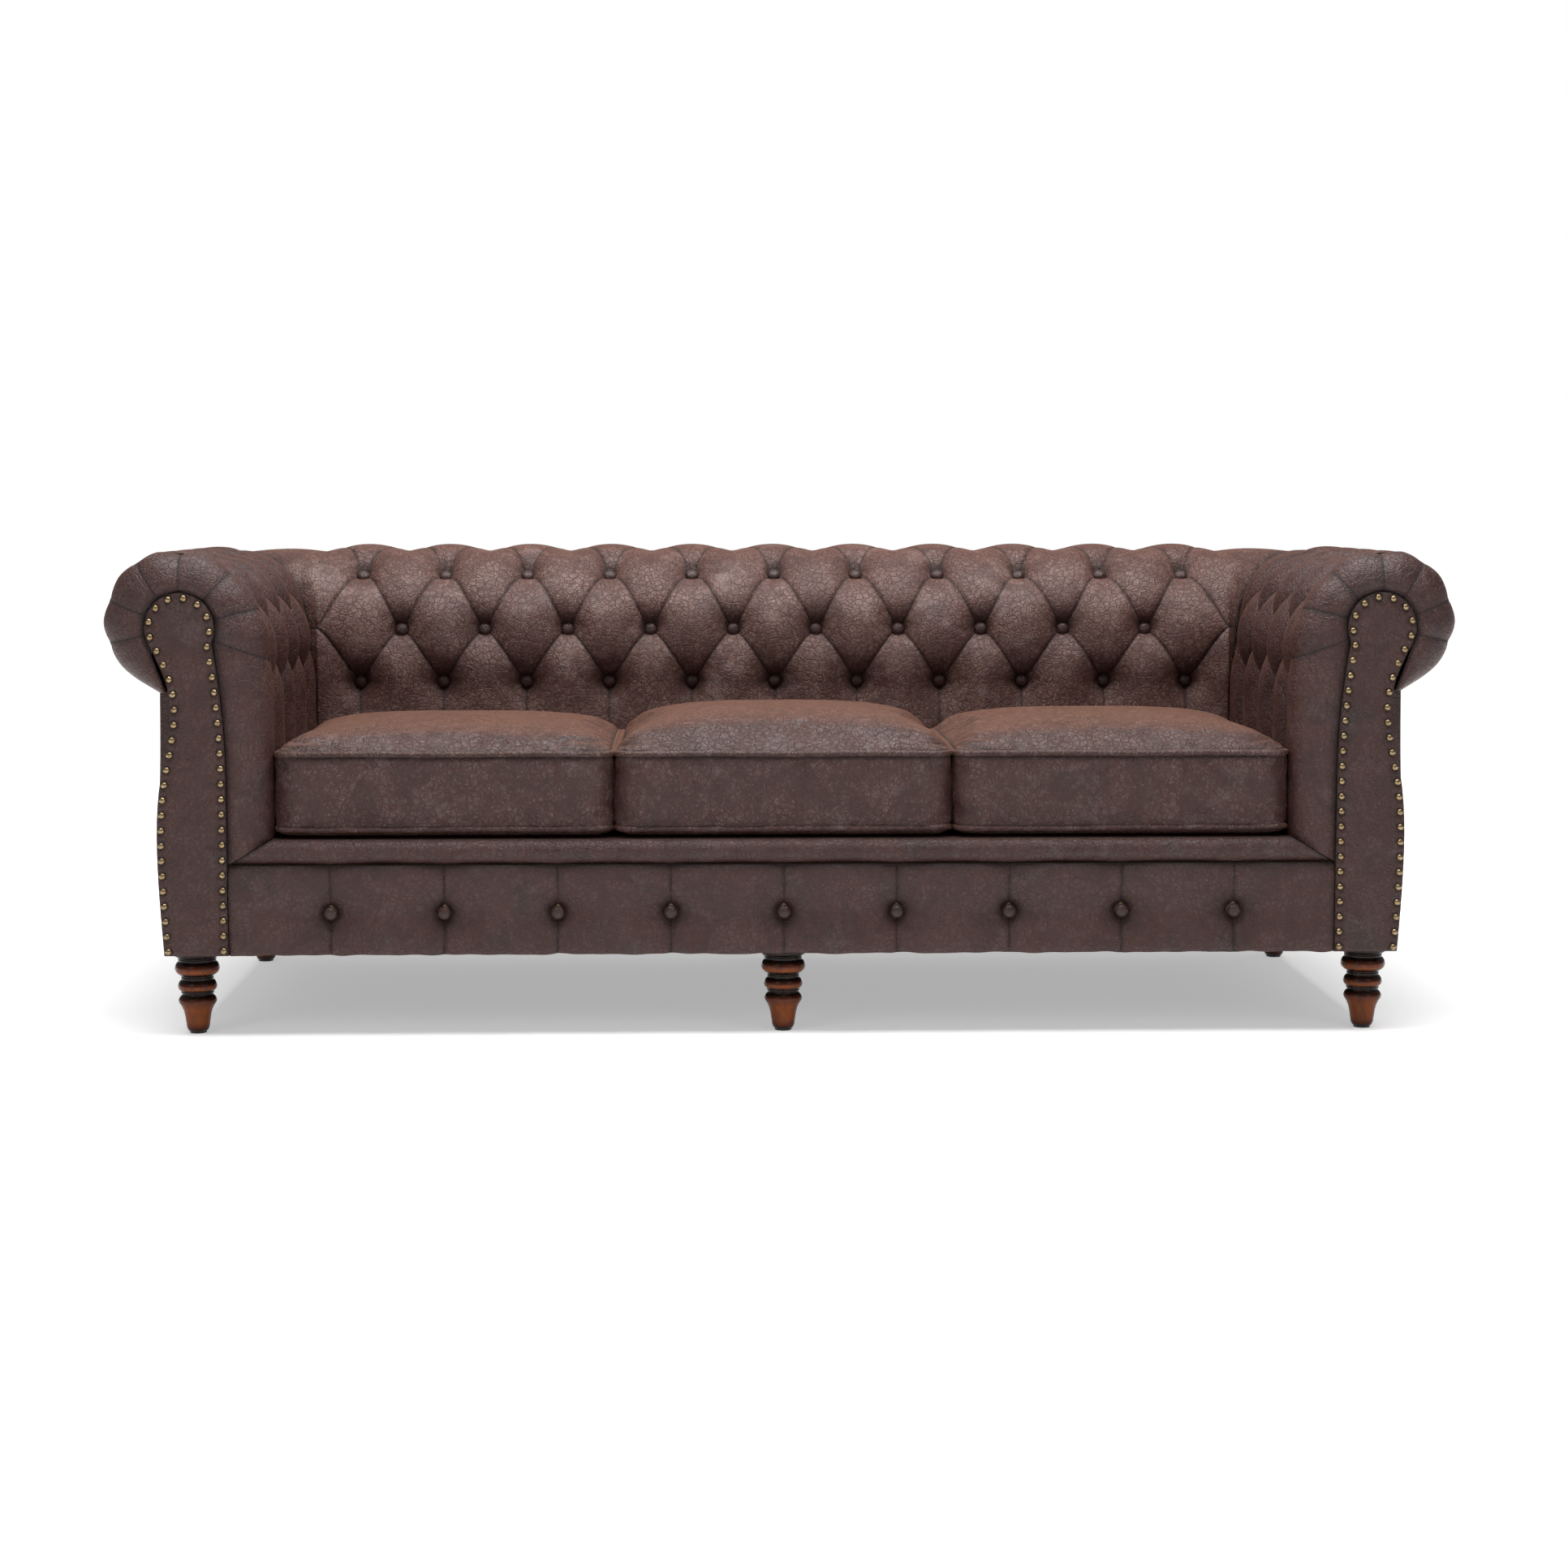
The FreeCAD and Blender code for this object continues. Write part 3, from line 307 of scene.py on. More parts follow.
class Finish:
    """A material under way: its nodes, and the patterns that feed its shader."""

    def __init__(self, name):
        self.material = bpy.data.materials.new(name)
        self.material.use_nodes = True
        self.tree = self.material.node_tree
        self.shader = self.tree.nodes["Principled BSDF"]
        self.place = self.node("ShaderNodeTexCoord").outputs["Object"]

    def node(self, kind, sockets=None, **settings):
        made = self.tree.nodes.new(kind)
        for key, value in settings.items():
            setattr(made, key, value)
        for key, value in (sockets or {}).items():
            self.feed(made.inputs[key], value)
        return made

    def feed(self, socket, value):
        if isinstance(value, bpy.types.NodeSocket):
            self.tree.links.new(value, socket)
        elif isinstance(value, tuple) and len(value) == 3 and socket.type == "RGBA":
            socket.default_value = (*value, 1)
        else:
            socket.default_value = value

    def set(self, **values):
        for key, value in values.items():
            self.feed(self.shader.inputs[key.replace("_", " ")], value)

    def stretched(self, scale):
        return self.node("ShaderNodeMapping", {"Vector": self.place, "Scale": scale}).outputs[0]

    def noise(self, scale, detail=4.0, rough=0.55, twist=0.0, place=None):
        return self.node("ShaderNodeTexNoise", {
            "Vector": place or self.place, "Scale": scale, "Detail": detail, "Roughness": rough,
            "Distortion": twist}).outputs["Fac"]

    def cracks(self, scale, wander):
        """Distance to the nearest line of a wandering net of cells."""
        source = self.place
        drift = self.node("ShaderNodeTexNoise", {"Vector": source, "Scale": scale * 0.8, "Detail": 4.0})
        shift = self.node("ShaderNodeVectorMath", {0: drift.outputs["Color"], 1: (0.5, 0.5, 0.5)},
                          operation="SUBTRACT").outputs[0]
        shift = self.node("ShaderNodeVectorMath", {0: shift, "Scale": wander}, operation="SCALE").outputs[0]
        moved = self.node("ShaderNodeVectorMath", {0: source, 1: shift}, operation="ADD").outputs[0]
        return self.node("ShaderNodeTexVoronoi", {"Vector": moved, "Scale": scale},
                         feature="DISTANCE_TO_EDGE").outputs["Distance"]

    def span(self, value, low, high, start=0.0, end=1.0, kind="SMOOTHSTEP"):
        """The value, rescaled from low..high to start..end."""
        return self.node("ShaderNodeMapRange", {
            "Value": value, "From Min": low, "From Max": high, "To Min": start, "To Max": end},
            interpolation_type=kind).outputs["Result"]

    def sum(self, a, b, kind="ADD"):
        return self.node("ShaderNodeMath", {0: a, 1: b}, operation=kind).outputs[0]

    def times(self, a, b):
        return self.sum(a, b, "MULTIPLY")

    def blend(self, factor, a, b):
        made = self.node("ShaderNodeMix", data_type="RGBA", blend_type="MIX")
        self.feed(made.inputs[0], factor)
        self.feed(made.inputs[6], a)
        self.feed(made.inputs[7], b)
        return made.outputs[2]

    def ramp(self, value, stops):
        made = self.node("ShaderNodeValToRGB", {"Fac": value})
        bands = made.color_ramp.elements
        while len(bands) < len(stops):
            bands.new(0.5)
        for band, (at, colour) in zip(bands, stops):
            band.position = at
            band.color = (*colour, 1)
        return made.outputs["Color"]

    def marked(self, name):
        return self.node("ShaderNodeAttribute", attribute_name=name, attribute_type="GEOMETRY").outputs["Fac"]

    def bump(self, *layers):
        """Height patterns with their depths in millimetres, laid over each other."""
        normal = None
        for height, depth in layers:
            sockets = {"Height": height, "Strength": 1.0, "Distance": depth * 0.001}
            if normal is not None:
                sockets["Normal"] = normal
            normal = self.node("ShaderNodeBump", sockets).outputs["Normal"]
        self.feed(self.shader.inputs["Normal"], normal)


def leather(name, dark, warm, worn_and_sheen, vein, painted_sheen_colour, rough=(0.3, 0.54), marks=True, wear_and_sheen=0.5, grain=1.0):
    """Distressed leather: finely cracked, with a broken grey bloom that is partly wear and partly painted
    sheen, and a painted warm sheen where it is seen edge on.
    """
    f = Finish(name)
    cloud = f.noise(5.0, 3.0, 0.6, 0.4)
    patch = f.noise(24.0, 5.0, 0.62, 0.8)
    scuff = f.noise(120.0, 6.0, 0.74, 1.6)
    fine = f.noise(420.0, 3.0, 0.65)
    net = f.cracks(95.0, 0.012)
    net_fine = f.cracks(230.0, 0.006)
    colour = f.blend(f.span(f.sum(f.times(cloud, 0.3), patch), 0.42, 0.9), dark, warm)
    lines = f.span(net, 0.0, 0.12, 1.0, 0.0)
    lines_fine = f.span(net_fine, 0.0, 0.19, 1.0, 0.0)
    where = f.span(f.noise(14.0, 4.0, 0.6), 0.3, 0.5)
    veins = f.times(f.sum(lines, f.times(lines_fine, 0.6), "MAXIMUM"), where)
    # grey-blue bloom, partly real wear and partly painted sheen standing in for the reflection of the studio
    # light
    bloom_and_sheen = f.times(f.span(f.sum(f.times(patch, 0.5), scuff), 0.7, 0.86), f.sum(1.0, veins, "SUBTRACT"))
    colour = f.blend(f.times(bloom_and_sheen, wear_and_sheen), colour, worn_and_sheen)
    colour = f.blend(f.times(veins, 0.95), colour, vein)
    colour = f.blend(f.span(fine, 0.38, 0.7, 0.0, 0.35), colour, dark)
    # painted sheen: a warmer, lighter tint where the surface is seen edge on
    edge_on = f.node("ShaderNodeLayerWeight", {"Blend": 0.5}).outputs["Facing"]
    painted_sheen = f.times(f.span(edge_on, 0.45, 0.98, 0.0, 0.75), f.span(scuff, 0.38, 0.6, 0.15, 1.0))
    colour = f.blend(painted_sheen, colour, painted_sheen_colour)
    roughness = f.sum(f.span(scuff, 0.3, 0.7, rough[0], rough[1]), f.times(veins, 0.12))
    # painted shade: the stored vertex marks blend the colour towards near black in pleats, pits, seams and
    # recesses, and roughen it there
    if marks:
        painted_shade = f.marked("painted_shade")
        colour = f.blend(f.times(painted_shade, 0.94), colour, (0.004, 0.003, 0.003))
        roughness = f.sum(roughness, f.times(painted_shade, 0.3))
    f.set(Base_Color=colour, Roughness=roughness, Specular_IOR_Level=0.42)
    f.bump((patch, 0.9 * grain), (scuff, 0.5 * grain), (lines, -0.35 * grain), (lines_fine, -0.16 * grain),
           (fine, 0.12))
    return f.material


VEIN = (0.052, 0.013, 0.0075)
hide = leather(
    "brown_hide", (0.020, 0.0070, 0.0066), (0.054, 0.0158, 0.0100), (0.105, 0.076, 0.079), VEIN,
    (0.105, 0.044, 0.027), wear_and_sheen=0.5, grain=1.4)
# painted light: the back's leather is a lighter copy of the same brown hide, making up for the light the
# recessed back misses
back_hide_painted_lighter = leather(
    "back_hide_painted_lighter", (0.052, 0.0222, 0.0190), (0.125, 0.0470, 0.0290), (0.215, 0.172, 0.168), VEIN,
    (0.135, 0.06, 0.039), rough=(0.35, 0.6), wear_and_sheen=0.55, grain=1.4)
# painted light: the cushions' leather is a lighter copy of the same brown hide, with a coarser grain
seat_hide_painted_lighter = leather(
    "seat_hide_painted_lighter", (0.0310, 0.0130, 0.0112), (0.076, 0.0265, 0.0150), (0.155, 0.121, 0.122), VEIN,
    (0.2, 0.088, 0.05), wear_and_sheen=0.6, grain=1.9)
# painted shade: the buttons' leather is a darker copy of the same brown hide, standing in for the shade of
# the pits they sit in
darker_button_hide = leather(
    "button_hide_painted_darker", (0.015, 0.0073, 0.0065), (0.028, 0.012, 0.0095), (0.05, 0.037, 0.036), VEIN,
    (0.042, 0.021, 0.016), rough=(0.28, 0.42), marks=False, wear_and_sheen=0.35)


def brass():
    f = Finish("antique_brass")
    tarnish = f.noise(260.0, 4.0, 0.6)
    colour = f.ramp(tarnish, ((0.35, (0.34, 0.25, 0.14)), (0.65, (0.17, 0.12, 0.065))))
    f.set(Base_Color=colour, Metallic=1.0, Roughness=f.span(tarnish, 0.3, 0.7, 0.24, 0.42))
    f.bump((tarnish, 0.1))
    return f.material


def turned_wood():
    """Stained hardwood under gloss lacquer, near black in the grooves and at the top of every swelling; these
    bands are partly the stain and partly painted shade.
    """
    f = Finish("stained_foot")
    height = f.node("ShaderNodeSeparateXYZ", {"Vector": f.place}).outputs["Z"]
    grain = f.noise(90.0, 5.0, 0.6, 1.5, f.stretched((1.0, 1.0, 0.12)))
    uneven = f.times(f.sum(grain, 0.5, "SUBTRACT"), 0.006)
    level = f.span(f.sum(height, uneven), 0.0, 0.13, kind="LINEAR")
    amber, red, black = (0.24, 0.052, 0.003), (0.1, 0.017, 0.002), (0.004, 0.002, 0.002)
    z = 130.0
    # height bands, partly stain and partly painted shade: near black in the grooves and at the top of each
    # swelling, amber lower down
    bands = f.ramp(level, (
        (0 / z, black), (4 / z, black), (8 / z, red), (16 / z, amber), (38 / z, amber), (50 / z, red),
        (57 / z, black), (66 / z, black), (70 / z, amber), (74 / z, red), (79 / z, black), (91 / z, black),
        (96 / z, amber), (101 / z, red), (108 / z, black), (116 / z, black)))
    colour = f.blend(f.span(grain, 0.35, 0.7, 0.0, 0.55), bands, (0.03, 0.011, 0.006))
    f.set(Base_Color=colour, Roughness=f.span(grain, 0.3, 0.7, 0.16, 0.3), Specular_IOR_Level=0.16,
          Coat_Weight=0.1, Coat_Roughness=0.1)
    f.bump((grain, 0.08))
    return f.material


def sawn_wood():
    f = Finish("sawn_softwood")
    ring = f.noise(14.0, 3.0, 0.5, 2.5, f.stretched((0.35, 1.0, 1.0)))
    streak = f.noise(130.0, 4.0, 0.6, 0.0, f.stretched((0.08, 1.0, 1.0)))
    colour = f.ramp(f.sum(f.times(ring, 0.6), f.times(streak, 0.4)),
                    ((0.35, (0.6, 0.42, 0.24)), (0.6, (0.42, 0.26, 0.13))))
    f.set(Base_Color=colour, Roughness=f.span(streak, 0.3, 0.7, 0.6, 0.8))
    f.bump((streak, 0.3))
    return f.material


def simple(name, light, dark, scale, rough, metal=0.0, depth=0.2):
    """A plain workshop finish with a small uneven pattern."""
    f = Finish(name)
    grain = f.noise(scale, 4.0, 0.6)
    f.set(Base_Color=f.ramp(grain, ((0.35, dark), (0.65, light))), Metallic=metal,
          Roughness=f.span(grain, 0.3, 0.7, rough - 0.06, rough + 0.06))
    f.bump((grain, depth))
    return f.material


def woven(name, light, dark, pitch):
    """Plain weave: two crossed waves."""
    f = Finish(name)
    along, over = [
        f.node("ShaderNodeTexWave", {"Vector": f.place, "Scale": 1000 / pitch / 6.28, "Distortion": 0.3},
               bands_direction=axis).outputs["Fac"] for axis in ("X", "Y")]
    cloth = f.times(along, over)
    f.set(Base_Color=f.blend(f.times(cloth, f.noise(300.0, 3.0)), dark, light), Roughness=0.9)
    f.bump((cloth, 0.3))
    return f.material


metal_brass = brass()
wood = turned_wood()
finishes = {
    "leather": hide, "button_leather": darker_button_hide, "cushion_leather": seat_hide_painted_lighter, "cushion_piping": seat_hide_painted_lighter,
    "nail_brass": metal_brass, "turned_wood": wood, "frame_timber": sawn_wood(),
    "foam": simple("cut_foam", (0.78, 0.72, 0.55), (0.66, 0.58, 0.4), 500.0, 0.9, depth=0.5),
    "steel": simple("drawn_steel", (0.5, 0.5, 0.52), (0.32, 0.32, 0.34), 200.0, 0.32, 1.0, 0.05),
    "cloth": woven("black_cloth", (0.03, 0.03, 0.032), (0.008, 0.008, 0.009), 1.6),
    "glide": simple("black_nylon", (0.02, 0.02, 0.02), (0.012, 0.012, 0.012), 300.0, 0.45, depth=0.05),
}
for part in frame["record"]["subparts"]:
    node = frame["nodes"][part["node"]]
    for place in node.material_slots:
        place.material = finishes[part["material_slot"]]


# The quilted covers

def swell(distance):
    return np.sin(np.pi * distance) ** 0.8


def on_roll(row):
    """Station of the roll at a row of the lattice. The last row lies behind the top."""
    over = 2 + (row - 2) * (BEHIND_TOP - 2)
    behind = BEHIND_TOP + (row - CREST) * (7 - BEHIND_TOP) / (7 - CREST)
    return np.where(row < 2, row, np.where(row < CREST, over, behind))


def from_button(column, row, step, last):
    """Millimetres sideways and upwards from the nearest button, and that button's row."""
    found = None
    for number in range(3):
        limit = last if (last + number) % 2 == 0 else last - 1
        low = -limit if last > 7 else number % 2
        beside = np.clip(2 * np.round((column - number) / 2) + number, low, limit)
        aside, up = (column - beside) * step, (row - number) * ROW
        if found is None:
            found = [aside, up, 0.0 * aside, beside]
            continue
        closer = np.hypot(aside, up) < np.hypot(found[0], found[1])
        found = [np.where(closer, new, old) for new, old in zip((aside, up, number, beside), found)]
    return found


def tuft(column, row, step, last, pleat=PLEAT):
    """Depth below the crowns. Buttons lie where column + row is even, pleats join them diagonally."""
    u, v = near((column + row) / 2), near((column - row) / 2)
    soften = 1 - 0.7 * ease((row - 2) / 0.6)
    rise = (column + row) / 2 % 1 - (column - row) / 2 % 1
    full = swell(u) * swell(v) * (1 - 0.12 * rise)
    middle = pleat * soften * (1 - full)
    across = near(column / 2)
    low = pleat * (1 - swell(across) ** 2) * np.clip((row + 2.6) / 1.2, 0, 1)
    over = near((column - 1) / 2)
    high = 0.3 * pleat * (1 - swell(over) ** 2) * np.clip((5.2 - row) / 2.0, 0, 1)
    depth = np.where(row < 0, low, np.where(row > CREST, high, middle))
    scallop = 1 - np.abs(np.cos(np.pi * column / 2)) ** 0.8
    scallop = scallop * ease((row - 1.9) / 0.6) * ease((5.4 - row) / 2.0)
    aside, up, number, beside = from_button(column, row, step, last)
    spread = np.hypot(aside / PIT_SIDE, np.where(up > 0, up / PIT_OVER, up / PIT_UNDER))
    pulled = (PIT - pleat * soften) * np.exp(-spread ** 1.4)
    # small folds run out from the buttons, most of all from those of the top row
    reach, angle = np.hypot(aside, up), np.arctan2(up, aside)
    folds = np.sin(6 * angle + beside * 2.3 + number) * fade(reach - 17, 9, 2)
    folds = folds * np.where(number == 2, 1.7 * ease(up / 10), 0.6)
    hole = BUTTON_HOLE * fade(reach, 12.5, 4)
    groove = STITCH_GROOVE * (0.4 + 0.6 * soften) * fade(from_pleat(column, row, step), 2.2)
    return depth + SCALLOP * scallop + pulled + folds + hole + groove


def bowed(column, row):
    """Rows moved so that each pleat leaves its upper button level and drops steeply to the lower one."""
    fu, fv = (column + row) / 2 % 1, (column - row) / 2 % 1
    strength = 0.62 + 0.6 * ease(row - 1.8)

    def drop(t):
        return strength * t * (1 - t) ** 2

    def beside(f):
        return 1 - 0.75 * np.sin(np.pi * f)

    shift = drop(1 - fu) * beside(fv) + drop(fv) * beside(fu)
    sag = 0.06 * swell(near(fu)) * swell(near(fv))
    inside = ease(row / 0.3) * ease((CREST - row) / 0.3)
    return row + (shift - sag) * inside


def from_pleat(column, row, step):
    """Distance in millimetres to the nearest pleat."""
    u, v = near((column + row) / 2), near((column - row) / 2)
    middle = np.minimum(u, v) * 1.6 * step
    low = near(column / 2) * 2 * step + np.clip(-1.9 - row, 0, 1) * 12
    high = near((column - 1) / 2) * 2 * step + np.clip(row - 3, 0, 9) * 9
    return np.where(row < 0, low, np.where(row > CREST, high, middle))


def painted_shade(column, row, step, last):
    """Painted shade: 1 on a pleat, fading beside it, and darker round the buttons, above all over them, where
    the pits lie in shade.
    """
    line = 0.9 * fade(from_pleat(column, row, step), 1.15)
    aside, up = from_button(column, row, step, last)[:2]
    ring = 0.9 * fade(np.hypot(aside, up), 14.5, 4)
    # painted shade over each button, under the overhanging puff
    over = 0.2 * fade(np.hypot(aside / 15.0, (up - 10) / 14.0), 1.0, 2)
    return np.maximum(np.maximum(line, ring), over)


def carry_on(bm, axis, start, values):
    """Carries the edge of a flat sheet on from its start through the values."""
    for value in values:
        edge = [e for e in bm.edges if e.is_boundary and all(abs(v.co[axis] - start) < 1e-5 for v in e.verts)]
        for v in extruded(bm, edge):
            v.co[axis] = value
        start = value


def lattice(first, last):
    """A flat sheet in columns and stations whose edges run along the diagonal pleats."""
    low = math.floor(min(first, first - CREST) / 2)
    high = math.ceil(max(last, last + CREST) / 2)
    cells = high - low
    bm = bmesh.new()
    bmesh.ops.create_grid(bm, x_segments=cells * FINE, y_segments=cells * FINE, size=cells / 2,
                          matrix=Matrix.Translation(((low + high) / 2, (low + high) / 2, 0)))
    for v in bm.verts:
        u, w = [c - 0.8 * math.sin(2 * math.pi * c) / (2 * math.pi) for c in v.co.xy]
        v.co = (u + w, u - w, 0)
    for point, side in (((first, 0, 0), (-1, 0, 0)), ((last, 0, 0), (1, 0, 0)), ((0, 0, 0), (0, -1, 0)),
                        ((0, CREST, 0), (0, 1, 0))):
        bmesh.ops.bisect_plane(bm, geom=bm.verts[:] + bm.edges[:] + bm.faces[:], dist=1e-4, plane_co=point,
                               plane_no=side, clear_outer=True)
    for v in bm.verts:
        for axis, marks in ((0, (first, last)), (1, (0, CREST))):
            for mark in marks:
                if abs(v.co[axis] - mark) < 2e-4:
                    v.co[axis] = mark
    carry_on(bm, 1, 0, (-0.05, -0.13, -0.25, -0.42, -0.65, -0.95, -1.3, -1.7, -2.1, -2.6))
    carry_on(bm, 1, CREST, (3.05, 3.13, 3.25, 3.42, 3.65, 3.9, 4.2, 4.5, 4.8, 5.1, 5.4, 5.7, 6.0, 6.3, 6.65,
                            7.0))
    return bm


FAN = (0.12, 0.3, 0.5, 0.7, 0.88, 1.0)


def corner(column_depth, fan, station):
    """Depth on the last puff, which runs to the corner seam."""
    seam = SEAM * np.clip(np.minimum((station + 2.6) / 2, (7 - station) / 2), 0, 1)
    strength = np.clip(np.minimum((station - 1) / 1.5, (4.5 - station) / 1.5), 0, 1)
    puffed = 8 * np.sin(np.pi * fan) * strength
    return (1 - fan) * column_depth + fan * seam - puffed * np.sqrt(1 - fan * 0.5)


def back_quilt():
    bm = lattice(-11, 11)
    carry_on(bm, 0, 11, [11 + f for f in FAN])
    carry_on(bm, 0, -11, [-11 - f for f in FAN])
    column, row = spots(bm)
    fan = np.clip(np.abs(column) - 11, 0, 1)
    inner = np.clip(column, -11, 11)
    depth = corner(tuft(inner, row, COLUMN, 10), fan, row)
    out, z = roll(on_roll(bowed(inner, row)), BACK_WIDTH, depth)
    y = BACK_FACE + out
    limit = SEAT_HALF + np.maximum(0, y - BACK_FACE) * ARM_WIDTH / BACK_WIDTH + 0.5
    reach = np.minimum(np.abs(inner) * COLUMN, limit)
    x = np.sign(column) * (reach + (limit - reach) * fan)
    # painted shade along the pleats, round and above the buttons, and along the corner seam
    dark = np.maximum(painted_shade(inner, row, COLUMN, 10), np.exp(-(1 - fan) * 12) * (fan > 0))
    return laid(bm, x, y, z, dark, (0, -1, 0.2), 0.3)


def arm_depth(column, row):
    """The arm's tufting, which dies out where the front band starts."""
    share = ease((column + 1) / 0.5)
    band = band_pleat(on_roll(bowed(column, row)))
    return tuft(column, row, ARM_COLUMN, 6, ARM_PLEAT) * share + band * (1 - share)


def band_place(station):
    """Position between the two nearest radial pleats, 0 to 1."""
    marks = np.array((-3.4,) + BAND_PLEATS + (7.6,))
    i = np.clip(np.searchsorted(marks, station) - 1, 0, len(marks) - 2)
    return (station - marks[i]) / (marks[i + 1] - marks[i]), marks[i + 1] - marks[i]


def band_pleat(station):
    f, length = band_place(station)
    distance = np.minimum(f, 1 - f) * length / 1.2
    return 7.0 * (1 - swell(np.clip(distance, 0, 0.5)))


def beside_facing(x, z):
    """The point at the facing's edge that a point of the roll is drawn to."""
    clear = 0.5
    reach = HEAD_R + clear
    angle = np.arctan2(z - HEAD_Z, x - HEAD_X)
    stop = math.radians(-28)
    down = np.clip((stop - angle) / math.radians(43), 0, 1)
    start = (HEAD_X + reach * math.cos(stop), HEAD_Z + reach * math.sin(stop))
    under_x = start[0] + (NECK[0] + 1 - start[0]) * down + 2 * clear * np.sin(np.pi * down)
    under_z = start[1] + (NECK[1] - 4 - start[1]) * down
    round_x, round_z = HEAD_X + reach * np.cos(angle), HEAD_Z + reach * np.sin(angle)
    under = (angle < stop) & (angle > -math.pi / 2)
    ex, ez = np.where(under, under_x, round_x), np.where(under, under_z, round_z)
    side = (z < 560) & (x < HEAD_X)
    up = np.maximum(0, z - 394) / 208
    flat_x = FACING_IN - clear + 18 * up * up
    # between the straight side and the round head the edge turns smoothly
    turn = ease((z - 540) / 40) * (x < HEAD_X)
    ex = np.where(side, flat_x * (1 - turn) + ex * turn, ex)
    ez = np.where(side, z * (1 - turn) + ez * turn, ez)
    return ex, ez


def arm_quilt():
    """Cover of the arm at +X, from the band round its facing to the corner seam."""
    bm = lattice(-1, 7)
    carry_on(bm, 0, 7, [7 + f for f in FAN])
    column, row = spots(bm)
    fan = np.clip(column - 7, 0, 1)
    inner = np.clip(column, -1, 7)
    depth = corner(arm_depth(inner, row), fan, row)
    out, z = roll(on_roll(bowed(inner, row)), ARM_WIDTH, depth)
    x = SEAT_HALF + out
    limit = BACK_FACE + np.maximum(0, out) * BACK_WIDTH / ARM_WIDTH + 0.5
    reach = np.minimum(BACK_FACE + (inner - 7) * ARM_COLUMN, limit)
    y = reach + (limit - reach) * fan
    share = ease((inner + 1) / 0.4)
    # painted shade along the pleats, round and above the buttons, and along the corner seam
    dark = np.maximum(painted_shade(inner, row, ARM_COLUMN, 6) * share, np.exp(-(1 - fan) * 12) * (fan > 0))
    return laid(bm, x, y, z, dark, (-1, 0, 0.6), 0.3)


def front_band():
    """The pleated band from the arm's roll in to the edge of the facing."""
    marks = (-2.6, -0.6) + BAND_PLEATS + (7.0,)
    turn = [-0.3, -0.12, 0.0] + [i / 14 for i in range(1, 15)]
    bm = sheet(crowded(marks, 12, 0.75), turn)
    station, t = spots(bm)
    angle = np.clip(t, 0, 1) * math.pi / 2
    share = 1 - np.cos(angle)
    pull = band_pleat(station) * (1 - 0.55 * np.clip(t, 0, 1)) + 0.8 * ease(-t / 0.12)
    out, z = roll(station, ARM_WIDTH, pull * np.cos(angle))
    x = SEAT_HALF + out
    edge_x, edge_z = beside_facing(x, z)
    y = ARM_FRONT + np.minimum(t, 0) * -60 + (FACING_Y - 3.5 - ARM_FRONT) * np.sin(angle)
    y += pull * np.sin(angle) + 9 * ease((share - 0.8) / 0.2)
    x, z = x + (edge_x - x) * share, z + (edge_z - z) * share
    # the band's foot runs down diagonally from the lip roll to the facing
    run = np.clip((x - SEAT_HALF) / (FACING_IN - SEAT_HALF), 0, 1)
    foot = LIP_TOP + 1 + (264 - LIP_TOP) * run
    z = np.where(z < foot, foot, z)
    f, length = band_place(station)
    line = np.minimum(f, 1 - f) * length * 90
    # painted shade in the radial pleats and where the band tucks in at the facing's edge
    dark = fade(line, 2.0) * ease((t + 0.1) / 0.2)
    dark = np.maximum(dark, ease((share - 0.93) / 0.07) * 0.9)
    return laid(bm, x, y, z, dark, (0, -1, 0), 0.05)


def join(*parts):
    """One shape of several."""
    whole = parts[0]
    for part in parts[1:]:
        mesh = bpy.data.meshes.new("joined")
        part.to_mesh(mesh)
        whole.from_mesh(mesh)
        bpy.data.meshes.remove(mesh)
        part.free()
    return whole


back = piece(back_quilt(), "tufted_back", back_hide_painted_lighter, ["inside_back_cover"], finer=1)
for side, shape in both_arms(join(arm_quilt(), front_band())):
    cover = piece(shape, side + "_tufted_arm", hide, [side + "_inside_arm_cover"], finer=1)


# Covered buttons

def covered_button(size=1.0):
    dome = ((0, 7.6), (2.9, 7.4), (5.8, 6.7), (8.5, 5.3), (10.6, 3.3), (12.0, 0.9), (12.3, -1.5),
            (11.2, -4.4), (9.0, -6.0))
    return turned([(radius * size, height * size) for radius, height in dome], 20)


def facing_out(place, outward):
    turn = Vector((0, 0, 1)).rotation_difference(Vector(outward)).to_matrix().to_4x4()
    tilt_x = Matrix.Rotation(rng.uniform(-0.08, 0.08), 4, "X")
    tilt = tilt_x @ Matrix.Rotation(rng.uniform(-0.08, 0.08), 4, "Y")
    return Matrix.Translation(place) @ turn @ tilt


def outward_of(row, width):
    near_in, near_up = roll(float(row), width, 0.0)
    far_in, far_up = roll(float(row), width, 1.0)
    return float(near_in - far_in), float(near_up - far_up)


def button_places(columns, width, place):
    """The place of every button on the lattice, as a matrix each."""
    found = []
    for row in range(3):
        out, up = outward_of(row, width)
        for column in columns:
            if (column + row) % 2 == 0:
                depth = BUTTON_DEPTHS[row] + rng.uniform(-1.5, 1.5)
                inwards, height = roll(float(row), width, depth)
                found.append(place(column, float(inwards), float(height), out, up))
    return found


def on_back(column, inwards, height, out, up):
    return facing_out((column * COLUMN, BACK_FACE + inwards, height), (0, out, up))


def on_arm(column, inwards, height, out, up):
    return facing_out((SEAT_HALF + inwards, ARM_FRONT + (column + 1) * ARM_COLUMN, height), (out, 0, up))


